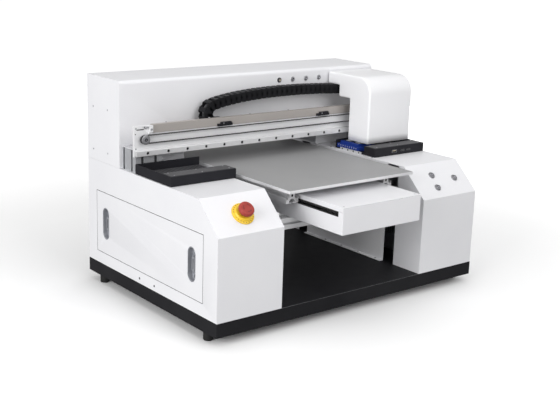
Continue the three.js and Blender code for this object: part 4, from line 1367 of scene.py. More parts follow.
@dataclass
class Gantry:
    """Posts, beam, plate, rail, belt drive and the trough in front of the hood."""

    hole_pitch: float = 0.060
    hole_radius: float = 0.0042
    tooth_pitch: float = 0.005
    cap_reach: float = 0.4005

    def build(self) -> None:
        """Makes every piece of the gantry."""
        for side in Side:
            slotted_piece(f"{side.word}_post", Axis.Z, 2, 2)
            self.post_cap(side)
            self.pulley(side)
        slotted_piece("gantry_beam", Axis.X, 2, 1)
        softened("gantry_plate", ALUMINIUM_X, 0.0007)
        self.plate_marks()
        self.rail()
        softened("chain_trough", TROUGH_METAL, 0.0006)
        self.lip_fittings()
        self.belt()
        stepper("x_motor", Axis.Y)

    def post_cap(self, side: Side) -> None:
        """A pale moulded cap on the end of a post, with two screws.

        Args:
            side: which post.
        """
        low, high = corners_of(f"{side.word}_post")
        x0, x1 = ((low[0] + 0.001, -self.cap_reach) if side is Side.LEFT
                  else (self.cap_reach, high[0] - 0.001))
        cap = block((x0, low[1] + 0.001, high[2]), (x1, high[1] - 0.001, high[2] + 0.0032))
        make_piece(f"{side.word}_post_cap", "root", [(cap, CAP_GREY)], 0.0008)
        for y in (low[1] + 0.020, low[1] + 0.060):
            SCREWS.add("root", ((x0 + x1) / 2, y, high[2] + 0.0032), UP, 0.0034)

    def plate_marks(self) -> None:
        """Screws, a sunk slot and a small hole near both ends of the plate's front, slot and hole
        drawn as flat black patches of painted shade.
        """
        low = corners_of("gantry_plate")[0]
        parts: Parts = []
        for side in Side:
            x = side.value * 0.4305
            # Painted shade: slot and hole are flat black patches, not recesses.
            slot = prism(rounded_outline(0.0026, 0.022, 0.0012), -0.0002, 0.00006)
            turn = facing((x, low[1], 0.4665), FRONT) @ Matrix.Rotation(math.pi / 2, 4, "Z")
            parts.append((slot.placed(turn), BLACK_PLASTIC_AND_HOLE_SHADE))
            dot = turned([(0.0016, -0.0002), (0.0016, 0.00006)], 24)
            place = facing((side.value * 0.4445, low[1], 0.4555), FRONT)
            parts.append((dot.placed(place), BLACK_PLASTIC_AND_HOLE_SHADE))
            for reach, z in ((0.4435, 0.4705), (0.4100, 0.4705), (0.4435, 0.4170)):
                SCREWS.add("root", (side.value * reach, low[1], z), FRONT, 0.0021)
        make_piece("gantry_plate_marks", "root", parts)

    def rail(self) -> None:
        """The linear rail: a waisted section with stepped screw holes along its front.

        The section is carried along X with a gap where the holes' band lies; the band is a row
        of oblong cells, each with a stepped round hole in its middle.
        """
        low, high = corners_of("x_rail")
        deep, tall = high[1] - low[1], high[2] - low[2]
        half = tall / 2
        band = 0.0052
        section = np.array([
            (0, band), (0, half - 0.0012), (0.0012, half), (0.0036, half), (0.0048, half - 0.0018),
            (0.0072, half - 0.0018), (0.0084, half), (deep, half), (deep, -half),
            (0.0084, -half), (0.0072, -half + 0.0018), (0.0048, -half + 0.0018), (0.0036, -half),
            (0.0012, -half), (0, -half + 0.0012), (0, -band),
        ]) + np.array([low[1], (low[2] + high[2]) / 2])
        ends = np.stack([np.insert(section, 0, x, axis=1) for x in (high[0], low[0])])
        body = grid(ends).closed(len(section))
        edges = np.arange(low[0] + 0.006, high[0] - 0.02, self.hole_pitch)
        edges = np.concatenate([[low[0]], edges[1:], [high[0]]])
        bore = [(self.hole_radius, 0.0), (self.hole_radius, -0.0046), (0.0026, -0.0047),
                (0.0026, -0.0070)]
        cells = joined([
            bored_cell((a, -band), (b, band), bore)
            for a, b in zip(edges[:-1], edges[1:])
        ])
        cells = cells.placed(
            Matrix.Translation((0, low[1], (low[2] + high[2]) / 2)) @ FRONTWARDS)
        heads: list[Shape] = []
        for a, b in zip(edges[:-1], edges[1:]):
            centre = ((a + b) / 2, low[1] + 0.0045, (low[2] + high[2]) / 2)
            heads.append(SCREWS.template(0.0034, Head.CAP).placed(facing(centre, FRONT)))
        stand_in("x_rail", [
            (body, GROUND_STEEL), (cells, GROUND_STEEL), (joined(heads), DARK_STEEL)], smooth=30)

    def lip_fittings(self) -> None:
        """The belt's tension bracket at the lip's left end, and the two clips under the lip."""
        low, high = corners_of("chain_trough")
        face = corners_of("gantry_plate")[0][1]
        bracket = block((low[0] - 0.012, face - 0.0075, 0.4585), (low[0] - 0.001, face, 0.4765))
        tab = block((low[0] - 0.012, face - 0.0042, 0.4540), (low[0] - 0.0015, face, 0.4590))
        bar = turned([(0.0022, 0.0), (0.0022, 0.019)], 20, Axis.X)
        bar = bar.moved(low[0] - 0.0215, face - 0.0038, 0.4722)
        make_piece("belt_tension_bracket", "root", [
            (bracket, ALUMINIUM_X), (tab, ALUMINIUM_X), (bar, SCREW_STEEL)], 0.0005)
        SCREWS.add("root", (low[0] - 0.0065, face - 0.0075, 0.4665), FRONT, 0.0030)
        SCREWS.add("root", (low[0] - 0.0215, face - 0.0038, 0.4722), (-1, 0, 0), 0.0034, Head.CAP)
        for name, x0, x1 in (("left", -0.190, -0.141), ("right", 0.163, 0.211)):
            y = low[1]
            body = block((x0, y - 0.0045, 0.4556), (x1, y + 0.0015, 0.4625))
            step = block((x0 + 0.010, y - 0.0055, 0.4590), (x1 - 0.004, y + 0.001, 0.4668))
            foot = block((x0 + 0.004, y - 0.0050, 0.4552), (x0 + 0.016, y, 0.4580))
            make_piece(f"trough_clip_{name}", "root", [
                (body, BLACK_PLASTIC_AND_HOLE_SHADE), (step, BLACK_PLASTIC_AND_HOLE_SHADE), (foot, BLACK_PLASTIC_AND_HOLE_SHADE)], 0.0007)
            SCREWS.add("root", (x0 + 0.018, y - 0.0055, 0.4630), FRONT, 0.0018)
        for x in np.linspace(low[0] + 0.05, high[0] - 0.05, 6):
            SCREWS.add("root", (x, face + 0.012, high[2]), UP, 0.0026)

    def belt(self) -> None:
        """The toothed belt: a loop of rings, each four corners of the belt's section.

        The loop runs straight and round a pulley; its second half is the first one turned by
        half a turn. The inner corners step in and out by the tooth's depth as the way along the
        loop passes each tooth.
        """
        low, high = corners_of("x_belt")
        outer = (high[2] - low[2]) / 2
        centre_z, reach = (low[2] + high[2]) / 2, high[0] - outer
        straight, turn = 2 * reach, math.pi * outer
        total = 2 * (straight + turn)
        teeth = round(total / self.tooth_pitch)
        way = (np.arange(teeth)[:, None] + np.array([0.0, 0.06, 0.5, 0.56])[None]).ravel()
        way = way / teeth * total
        depth = np.tile([0.0011, 0.0017, 0.0017, 0.0011], teeth)
        side = np.where(way < total / 2, 1, -1)
        run = way % (total / 2)
        angle = np.clip(run - straight, 0, None) / outer - math.pi / 2
        nx, nz = side * np.cos(angle), side * np.sin(angle)
        x = side * (np.clip(run, None, straight) - reach) + outer * nx
        corners = []
        for y, toothed in ((low[1], 0), (high[1], 0), (high[1], 1), (low[1], 1)):
            shift = depth * toothed
            corners.append(np.stack([x - nx * shift, np.full_like(x, y),
                                     centre_z + nz * (outer - shift)], -1))
        loop = grid(np.stack(corners, 1), wrap_rows=True, wrap_columns=True)
        stand_in("x_belt", [(loop, BELT_RUBBER)], smooth=25)

    def pulley(self, side: Side) -> None:
        """A belt pulley: flanges, a toothed barrel, a bright hub and a dark screw in front.

        The barrel's radius is its mean radius plus a square-edged cosine of 24 times the angle.

        Args:
            side: which pulley.
        """
        node = f"{side.word}_pulley"
        low, high = corners_of(node)
        centre = np.array([(low[0] + high[0]) / 2, low[1], (low[2] + high[2]) / 2])
        flange = (high[0] - low[0]) / 2
        place = facing(centre, FRONT)
        front = turned([
            (flange * 0.92, -0.0015), (flange, -0.0012), (flange, -0.0004), (flange * 0.9, 0.0),
            (flange * 0.62, 0.0), (flange * 0.60, -0.0006), (flange * 0.42, -0.0006),
            (flange * 0.40, 0.0), (flange * 0.30, 0.0)], 64)
        back = turned([(flange * 0.9, -0.0120), (flange, -0.0117), (flange, -0.0108),
                       (flange * 0.92, -0.0105)], 64)
        angle = np.linspace(0, 2 * np.pi, 144, endpoint=False)
        radius = 0.0092 + 0.0003 * np.tanh(4 * np.cos(24 * angle))
        barrel = grid(round_rings(radius, np.array([-0.0108, -0.0012]), angle), wrap_columns=True)
        shaft = turned([(0.0025, low[1] - high[1]), (0.0025, -0.0115)], 24)
        stand_in(node, [
            (front.placed(place), SCREW_STEEL), (back.placed(place), SCREW_STEEL),
            (barrel.placed(place), ALUMINIUM_X), (shaft.placed(place), SCREW_STEEL)], smooth=35)
        mark = centre + np.array([0.0, 0.0012, 0.0])
        SCREWS.add(node, mark, FRONT, 0.0044, Head.BUTTON, DARK_STEEL)


FRONTWARDS = Matrix(((1, 0, 0, 0), (0, 0, -1, 0), (0, 1, 0, 0), (0, 0, 0, 1)))


def slotted_piece(node: str, axis: Axis, count_a: int, count_b: int) -> None:
    """Stands for a CAD profile with a real T-slot section and round bores in its ends, the bores
    drawn as flat black discs of painted shade.

    Args:
        node: the CAD profile.
        axis: its long axis.
        count_a: slots across the first direction of its section.
        count_b: slots across the second.
    """
    low, high = corners_of(node)
    first, second = axis.across
    size = high - low
    outline = slotted_outline(size[first], size[second], count_a, count_b)
    outline = outline + low[[first, second]]
    finish = {Axis.X: ALUMINIUM_X, Axis.Y: ALUMINIUM_Y, Axis.Z: ALUMINIUM_Z}[axis]
    parts = [(prism(outline, low[axis.value], high[axis.value], axis), finish)]
    for i in range(count_a):
        for j in range(count_b):
            a = low[first] + size[first] * (i + 0.5) / count_a
            b = low[second] + size[second] * (j + 0.5) / count_b
            for level in (low[axis.value], high[axis.value]):
                # Painted shade: each bore is a thin black disc on the end face.
                bore = turned([(0.0034, -0.00005), (0.0034, 0.00005)], 20, axis)
                centre = np.zeros(3)
                centre[[first, second, axis.value]] = a, b, level
                parts.append((bore.moved(*centre), BLACK_PLASTIC_AND_HOLE_SHADE))
    stand_in(node, parts, 0.0004, 2, smooth=30)


def stepper(node: str, axis: Axis) -> None:
    """A square motor: a laminated steel middle between two cast end caps with cut corners.

    Args:
        node: the CAD motor.
        axis: the axis of its shaft.
    """
    low, high = corners_of(node)
    first, second = axis.across
    middle = (low + high) / 2
    width, start = high[first] - low[first], low[axis.value]
    length = high[axis.value] - start
    chamfer = width * 0.09
    corner = width / 2 - chamfer
    outline = np.array([(width / 2, -corner), (width / 2, corner), (corner, width / 2),
                        (-corner, width / 2), (-width / 2, corner), (-width / 2, -corner),
                        (-corner, -width / 2), (corner, -width / 2)])
    centre = middle[[first, second]]
    parts = [
        (prism(outline + centre, start, start + length * 0.2, axis), BLACK_PLASTIC_AND_HOLE_SHADE),
        (prism(outline * 0.96 + centre, start + length * 0.2, start + length * 0.8, axis),
         LAMINATED),
        (prism(outline + centre, start + length * 0.8, start + length, axis), BLACK_PLASTIC_AND_HOLE_SHADE),
    ]
    stand_in(node, parts, 0.0006, 2, smooth=30)


# ---- cable chain


@dataclass
class CableChain:
    """The jointed chain that carries the cables from the trough to the carriage."""

    fixed_x: float = 0.050
    bend_radius: float = 0.025
    rise_angle: float = 15.0
    lead_out: float = 0.105
    lead_in: float = 0.150
    lead_in_rise: float = 0.012
    end_rise: float = 0.064
    pitch: float = 0.0178
    half_height: float = 0.014
    ease_start: float = 0.03
    ease_length: float = 0.09
    sink: float = 0.012
    cables: tuple[tuple[float, float, float], ...] = (
        (-0.0085, -0.0050, 0.0034), (-0.0010, -0.0058, 0.0030), (0.0075, -0.0048, 0.0036),
        (-0.0050, 0.0042, 0.0032), (0.0040, 0.0045, 0.0034))

    def path(self) -> tuple[np.ndarray, int]:
        """The chain's middle line as (x, z) points, from its fixed end to the carriage.

        A straight run to the left, an arc round the bend's centre, and a cubic curve whose four
        control points are the arc's end, two handles and the carriage's end.

        Returns:
            The points, and the number of the leftmost one.
        """
        low, high = corners_of("cable_chain")
        z = low[2] + self.half_height
        bend = np.array([low[0] + self.half_height + self.bend_radius, z + self.bend_radius])
        lean = math.radians(self.rise_angle)
        straight = np.column_stack([np.linspace(self.fixed_x, bend[0], 60), np.full(60, z)])
        angle = np.linspace(1.5 * np.pi, np.pi / 2 + lean, 60)
        arc = bend + self.bend_radius * np.column_stack([np.cos(angle), np.sin(angle)])
        end = np.array([high[0] - 0.0015, z + self.end_rise])
        start = arc[-1]
        handle = start + self.lead_out * np.array([math.cos(lean), math.sin(lean)])
        near = end + np.array([-self.lead_in, self.lead_in_rise])
        t = np.linspace(0, 1, 160)[:, None]
        curve = ((1 - t) ** 3 * start + 3 * (1 - t) ** 2 * t * handle
                 + 3 * (1 - t) * t ** 2 * near + t ** 3 * end)
        points = np.vstack([straight, arc[1:], curve[1:]])
        return points, int(points[:, 0].argmin())

    def link(self) -> Shape:
        """One link along X: two pairs of overlapping side plates and two cross bars.

        Returns:
            The link, centred on the origin.
        """
        half = self.pitch / 2
        plate = np.array([
            (-half - 0.0035, -0.006), (-half + 0.001, -0.0128), (half - 0.004, -0.0128),
            (half - 0.0005, -0.0085), (half + 0.0018, 0.0), (half - 0.0005, 0.0085),
            (half - 0.004, 0.0128), (-half + 0.001, 0.0128), (-half - 0.0035, 0.006)])
        outline = plate[::-1, ::-1]
        inner = outline * np.array([0.93, 1.0])
        pin = [(0.0030, 0.0), (0.0030, 0.0006), (0.0022, 0.0008)]
        far_pin = [(radius, -height) for radius, height in pin[::-1]]
        shapes = []
        for sign, profile in ((-1, far_pin), (1, pin)):
            inside, middle, outside = sign * 0.0128, sign * 0.0150, sign * 0.0170
            shapes += [
                prism(outline, *sorted((middle, outside)), Axis.Y),
                prism(inner, *sorted((inside, middle)), Axis.Y).moved(x=0.0042),
                turned(profile, 12, Axis.Y).moved(x=-half + 0.001, y=sign * 0.0162)]
        bar = prism(rounded_outline(0.0030, self.pitch * 0.76, 0.0010, 3), -0.0158, 0.0158, Axis.Y)
        return joined(shapes + [bar.moved(z=sign * 0.0124) for sign in (-1, 1)])

    def run(self, points: np.ndarray, flatten: float) -> Parts:
        """Links and cables along one part of the path.

        Every link's points (s, w, n) go to the path's point plus s along it, n across it and w
        on Y, all links at once.

        Args:
            points: the path's (x, z) points.
            flatten: how much lower the links become towards the fixed end, as a share.

        Returns:
            The surfaces with their finishes.
        """
        low, high = corners_of("cable_chain")
        y = (low[1] + high[1]) / 2
        steps = np.linalg.norm(np.diff(points, axis=0), axis=1)
        way = np.concatenate([[0], np.cumsum(steps)])
        count = max(1, round(way[-1] / self.pitch))
        at = (np.arange(count) + 0.5) * way[-1] / count
        centre = np.column_stack([np.interp(at, way, points[:, k]) for k in (0, 1)])
        slope = np.gradient(points, way, axis=0)
        ahead = np.column_stack([np.interp(at, way, slope[:, k]) for k in (0, 1)])
        ahead /= np.linalg.norm(ahead, axis=1, keepdims=True)
        one = self.link()
        s, w, n = one.points.T
        reach = points[:, 0].min() + self.ease_start
        eased = flatten * np.clip((centre[:, :1] - reach) / self.ease_length, 0, 1)
        n = n * (1 - eased) + self.sink * eased
        x = centre[:, :1] + ahead[:, :1] * s - ahead[:, 1:] * n
        z = centre[:, 1:] + ahead[:, 1:] * s + ahead[:, :1] * n
        placed = np.stack([x, np.broadcast_to(y + w, x.shape), z], -1)
        parts = [(joined([Shape(corners, one.faces) for corners in placed]), CHAIN_PLASTIC)]
        unit = slope / np.linalg.norm(slope, axis=1, keepdims=True)
        eased = flatten * np.clip((points[:, 0] - reach) / self.ease_length, 0, 1)
        for index, (across, height, radius) in enumerate(self.cables):
            off = height * (1 - 1.2 * eased) + self.sink * eased
            line = np.column_stack([points[:, 0] - unit[:, 1] * off,
                                    np.full(len(points), y + across),
                                    points[:, 1] + unit[:, 0] * off])[::3]
            parts.append((tube(line, radius), (CABLE_GREY, RUBBER_AND_SEAM_SHADE)[index % 2]))
        return parts

    def build(self) -> None:
        """Makes the lower and upper part between trough and carriage and bakes each in place."""
        points, turn = self.path()
        lower = make_piece("chain_lower_run", None, self.run(points[:turn + 1], 0.48), 0.0005, 1)
        upper = make_piece("chain_upper_run", None, self.run(points[turn:], 0.0), 0.0005, 1)
        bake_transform(lower)
        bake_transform(upper)
        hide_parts("cable_chain")
        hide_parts("cable_chain")


# ---- trays


@dataclass
class Trays:
    """The two black trays on the covers, and the capping station in the right one."""

    edge: float = 0.0016

    def build(self) -> None:
        """Makes both trays and what lies in them."""
        for side in Side:
            softened(f"{side.word}_tray", BLACK_PLASTIC_AND_HOLE_SHADE, self.edge)
            self.platform(side)
        self.left_well()
        self.ports()
        self.cap_station()

    def platform(self, side: Side) -> None:
        """A thin satin plate on the tray's front platform, with screws along both its edges.

        Args:
            side: which tray.
        """
        low, high = corners_of(f"{side.word}_tray")
        x0, x1 = low[0] + 0.004, high[0] - 0.004
        y0, y1 = low[1] + 0.004, low[1] + 0.045
        plate = prism(rounded_outline(x1 - x0, y1 - y0, 0.003), high[2] - 0.0002,
                      high[2] + 0.0007).moved((x0 + x1) / 2, (y0 + y1) / 2)
        make_piece(f"{side.word}_tray_platform", "root", [(plate, SATIN_GREY)], 0.0003)
        for x in (x0 + 0.012, (x0 + x1) / 2, x1 - 0.012):
            for y in (y0 + 0.006, y1 - 0.006):
                SCREWS.add("root", (x, y, high[2] + 0.0007), UP, 0.0017)

    def left_well(self) -> None:
        """A satin mat in the left tray's well, with ribs across it."""
        low, high = corners_of("left_tray")
        floor = low[2] + 0.003
        x0, x1, y0, y1 = low[0] + 0.006, high[0] - 0.004, low[1] + 0.051, high[1] - 0.007
        parts = [(block((x0, y0, floor), (x1, y1, floor + 0.0016)), SATIN_GREY)]
        for x in np.arange(x0 + 0.008, x1 - 0.004, 0.010):
            rib = block((x, y0 + 0.004, floor + 0.001), (x + 0.003, y1 - 0.004, floor + 0.0030))
            parts.append((rib, SATIN_GREY))
        make_piece("left_tray_mat", "root", parts, 0.0006)

    def ports(self) -> None:
        """The front of the right tray: a framed socket, whose opening is a flat black patch of
        painted shade, and two dark oval windows.
        """
        low, high = corners_of("right_tray")
        z = (low[2] + high[2]) / 2 - 0.001
        parts: Parts = []
        place = Matrix.Translation((low[0] + 0.078, low[1], z)) @ FRONTWARDS
        rim = dished(rounded_outline(0.019, 0.0092, 0.0014), [
            (0.0, -0.0002), (0.0, 0.0005), (0.0008, 0.0005), (0.0009, -0.0001)], closed=False)
        # Painted shade: the socket's opening is a flat black patch.
        hole = prism(rounded_outline(0.0168, 0.0070, 0.0006), -0.0002, 0.0001)
        tongue = prism(rounded_outline(0.0130, 0.0020, 0.0004), 0.0, 0.0003).moved(y=0.0012)
        parts += [(rim.placed(place), SCREW_STEEL), (hole.placed(place), BLACK_PLASTIC_AND_HOLE_SHADE),
                  (tongue.placed(place), BEIGE_PLASTIC)]
        for x in (low[0] + 0.112, low[0] + 0.136):
            place = Matrix.Translation((x, low[1], z)) @ FRONTWARDS
            window = dished(rounded_outline(0.019, 0.0072, 0.0034), [
                (0.0, -0.0002), (0.0001, 0.0003), (0.0008, 0.0004), (0.0014, 0.0001)])
            parts.append((window.placed(place), GLOSS_BLACK))
        make_piece("right_tray_ports", "root", parts, smooth=35)

    def cap_station(self) -> None:
        """The blue station: its body, two rubber caps on top, a row of ticks and a metal strip."""
        low, high = corners_of("cap_station")
        softened("cap_station", BLUE_PLASTIC, 0.0012)
        parts: Parts = []
        for y in ((low[1] + high[1]) / 2 - 0.020, (low[1] + high[1]) / 2 + 0.020):
            x = (low[0] + high[0]) / 2 - 0.006
            place = Matrix.Translation((x, y, high[2]))
            rim = dished(rounded_outline(0.040, 0.030, 0.006), [
                (0.0, -0.0002), (0.0004, 0.0009), (0.0014, 0.0012), (0.0024, 0.0009),
                (0.0030, -0.0001), (0.0040, 0.0001), (0.0060, 0.0001)])
            parts.append((rim.placed(place), RUBBER_AND_SEAM_SHADE))
            pad = prism(rounded_outline(0.030, 0.020, 0.003), 0.0, 0.0005)
            parts.append((pad.placed(place), FOAM_WHITE))
        edge = (low[0] - 0.0002, low[0] + 0.001)
        for y in np.linspace(low[1] + 0.008, high[1] - 0.008, 9):
            tick = block((edge[0], y - 0.0006, low[2] + 0.0062),
                         (edge[1], y + 0.0006, low[2] + 0.0104))
            parts.append((tick, FOAM_WHITE))
        make_piece("cap_station_caps", "root", parts, 0.0002)
        tray_low = corners_of("right_tray")[0]
        face = tray_low[0]
        strip = block((face - 0.0016, -0.004, 0.3523), (face - 0.0001, 0.088, 0.3588))
        lead = block((face - 0.0060, -0.030, 0.3523), (face - 0.0001, 0.104, 0.3531))
        make_piece("right_tray_strip", "root", [(strip, ALUMINIUM_Y), (lead, ALUMINIUM_Y)], 0.0003)
        for y in (0.006, 0.030, 0.054, 0.078):
            SCREWS.add("root", (face - 0.0016, y, 0.3556), (-1, 0, 0), 0.0022, Head.BUTTON,
                       DARK_STEEL)
        sensor = block((face + 0.003, -0.0240, 0.3655), (face + 0.055, -0.0135, 0.3700))
        make_piece("right_tray_sensor_strip", "root", [(sensor, BEIGE_PLASTIC)], 0.0006)


# ---- carriage


@dataclass
class Carriage:
    """The white head carriage: its moulded cover, its block, the print head and the lamp."""

    top_radius: float = 0.047
    edge_radius: float = 0.0034
    wall: float = 0.0022
    arm_rise: float = 0.125
    arm_step_rise: float = 0.034
    lower_depth: float = 0.083
    arm_step_depth: float = 0.049

    def build(self) -> None:
        """Makes every piece of the carriage."""
        self.cover()
        self.fasteners_and_vents()
        softened("carriage_block", ALUMINIUM_X, 0.0006)
        self.head()
        self.lamp()
        self.chain_end()

    def outline(self, margin: float) -> np.ndarray:
        """The cover's side view as (Y, Z) points from the front's foot over the top to the back.

        Straight runs and one quarter circle at the upper front, all drawn in by the margin.

        Args:
            margin: how far it is drawn in, in metres.

        Returns:
            The outline, foot to foot.
        """
        low, high = corners_of("carriage_cover")
        front, foot, top = low[1] + margin, low[2], high[2] - margin
        back = low[1] + self.lower_depth - margin
        arm = low[2] + self.arm_rise + margin
        step_y = low[1] + self.lower_depth + self.arm_step_depth - margin
        step_z = low[2] + self.arm_rise + self.arm_step_rise + margin
        rear = high[1] - margin
        angle = np.linspace(np.pi, np.pi / 2, 20)
        centre = np.array([low[1] + self.top_radius, high[2] - self.top_radius])
        arc = centre + (self.top_radius - margin) * np.column_stack([np.cos(angle), np.sin(angle)])
        return np.vstack([
            [(front, foot), (front, foot + 0.02), (front, (foot + centre[1]) / 2)], arc,
            [(rear - 0.02, top), (rear - 0.0012, top), (rear, top - 0.0012),
             (rear, step_z + 0.0012), (rear - 0.0012, step_z), (step_y + 0.002, step_z),
             (step_y, step_z - 0.002), (step_y, arm + 0.0012), (step_y - 0.0012, arm),
             (back + 0.003, arm), (back, arm - 0.003), (back, foot + 0.02), (back, foot)],
        ])

    def cover(self) -> None:
        """The cover: outlines across X, drawn in at both sides along a quarter circle.

        At each side the margin is radius * (1 - sin) and the place radius * (1 - cos) of an
        angle from 0 to 90 degrees. The lower end stays open and the wall is given by Solidify.
        """
        low, high = corners_of("carriage_cover")
        r = self.edge_radius
        angle = np.linspace(0, np.pi / 2, 8)
        left = [(low[0] + r * (1 - math.cos(a)), r * (1 - math.sin(a))) for a in angle]
        right = [(high[0] - (x - low[0]), margin) for x, margin in reversed(left)]
        rows = []
        for x, margin in left + right:
            side = self.outline(margin)
            rows.append(np.column_stack([np.full(len(side), x), side]))
        skin = grid(np.stack(rows)[:, ::-1]).closed(len(rows[0])).turned_over()
        piece = stand_in("carriage_cover", [(skin, WHITE_SHELL)], smooth=28)
        thick = piece.modifiers.new("wall", "SOLIDIFY")
        thick.thickness = self.wall
        thick.offset = -1.0
        thick.use_even_offset = True

    def fasteners_and_vents(self) -> None:
        """The cover's lower screws, and the screws and small vents at its back, the vents flat
        black slots of painted shade.
        """
        low, high = corners_of("carriage_cover")
        for y in (low[1] + 0.014, low[1] + 0.034):
            for x, out in ((low[0], -1), (high[0], 1)):
                SCREWS.add("carriage", (x, y, low[2] + 0.007), (out, 0, 0), 0.0034, Head.FLUSH,
                           DARK_STEEL)
        for x in (low[0] + 0.03, high[0] - 0.03):
            SCREWS.add("carriage", (x, high[1], high[2] - 0.012), REAR, 0.0024)
        # Painted shade: each vent is a flat black slot where the opening's shade would be.
        slot = prism(rounded_outline(0.0028, 0.022, 0.0013), -0.0003, 0.00008)
        parts = []
        for x in np.linspace(low[0] + 0.050, high[0] - 0.050, 9):
            place = Matrix.Translation((x, low[1] + self.lower_depth, low[2] + 0.092)) @ BACKWARDS
            parts.append((slot.placed(place), BLACK_PLASTIC_AND_HOLE_SHADE))
        make_piece("carriage_cover_vents", "carriage", parts)

    def head(self) -> None:
        """The print head: a body with a stepped foot, and a nozzle plate with fine rows of painted
        shade for the nozzles.
        """
        low, high = corners_of("print_head")
        x, y = (low[0] + high[0]) / 2, (low[1] + high[1]) / 2
        body = block((low[0], low[1], low[2] + 0.006), high)
        foot = block((low[0] + 0.003, low[1] + 0.003, low[2] + 0.001),
                     (high[0] - 0.003, high[1] - 0.003, low[2] + 0.007))
        plate = block((low[0] + 0.006, low[1] + 0.006, low[2]),
                      (high[0] - 0.006, high[1] - 0.006, low[2] + 0.0015))
        parts = [(body, DARK_PLASTIC), (foot, GRIP_GREY), (plate, GROUND_STEEL)]
        # Painted shade: each row of nozzle holes is a thin black strip.
        for dx in np.linspace(-0.014, 0.014, 6):
            row = block((x + dx - 0.0003, y - 0.018, low[2] - 0.00004),
                        (x + dx + 0.0003, y + 0.018, low[2] + 0.0002))
            parts.append((row, BLACK_PLASTIC_AND_HOLE_SHADE))
        stand_in("print_head", parts, 0.0005)

    def lamp(self) -> None:
        """The curing lamp: a finned body over a framed window."""
        low, high = corners_of("uv_lamp")
        parts = [(block(low, (high[0], high[1], low[2] + 0.012)), ALUMINIUM_Y)]
        count = 9
        width = (high[0] - low[0]) / (2 * count - 1)
        for index in range(count):
            x = low[0] + 2 * index * width
            fin = block((x, low[1] + 0.002, low[2] + 0.011), (x + width, high[1] - 0.002, high[2]))
            parts.append((fin, ALUMINIUM_Y))
        window = block((low[0] + 0.010, low[1] + 0.016, low[2] - 0.00005),
                       (high[0] - 0.010, high[1] - 0.016, low[2] + 0.001))
        parts.append((window, GLOSS_BLACK))
        stand_in("uv_lamp", parts, 0.0004)

    def chain_end(self) -> None:
        """The bracket that holds the chain's end under the cover's arm."""
        chain = corners_of("cable_chain")[1]
        cover = corners_of("carriage_cover")[0]
        y0, y1 = 0.1360, 0.1690
        under = cover[2] + self.arm_rise + self.arm_step_rise
        plate = block((chain[0] - 0.002, y0, under - 0.0018),
                      (chain[0] + 0.030, y1, under + 0.0004))
        web = block((chain[0] + 0.001, y0, under - 0.030), (chain[0] + 0.003, y1, under - 0.001))
        make_piece("chain_end_bracket", "carriage", [(plate, GRIP_GREY), (web, GRIP_GREY)], 0.0004)
        for y in (y0 + 0.008, y1 - 0.008):
            SCREWS.add("carriage", (chain[0] + 0.003, y, under - 0.015), (1, 0, 0), 0.0026)


# ---- bed


@dataclass
class Bed:
    """The bed plate, its two profiles and the saddle that carries them."""

    corner: float = 0.0022
    chamfer: float = 0.0008

    def build(self) -> None:
        """Makes the plate, the profiles and the saddle."""
        self.plate()
        for side in Side:
            slotted_piece(f"{side.word}_bed_profile", Axis.Y, 1, 1)
        softened("bed_saddle", ALUMINIUM_Y, 0.0005)

    def plate(self) -> None:
        """The plate: rings of its rounded outline with a bright milled edge and a matte top."""
        low, high = corners_of("bed_plate")
        centre = (low + high) / 2
        size = high - low
        outline = rounded_outline(size[0], size[1], self.corner, 8)
        c = self.chamfer
        edge = dished(outline, [(c, low[2]), (0, low[2] + c), (0, high[2] - c), (c, high[2])],
                      closed=False).moved(centre[0], centre[1]).turned_over()
        inner = outline * (1 - c / np.linalg.norm(outline, axis=1))[:, None]
        count = len(inner)
        top = Shape(np.column_stack([inner, np.full(count, high[2])]), [tuple(range(count))])
        under = Shape(np.column_stack([inner, np.full(count, low[2])]),
                      [tuple(range(count))[::-1]])
        stand_in("bed_plate", [
            (top.moved(centre[0], centre[1]), BED_SURFACE), (edge, EDGE_METAL),
            (under.moved(centre[0], centre[1]), ALUMINIUM_Y)], smooth=25)


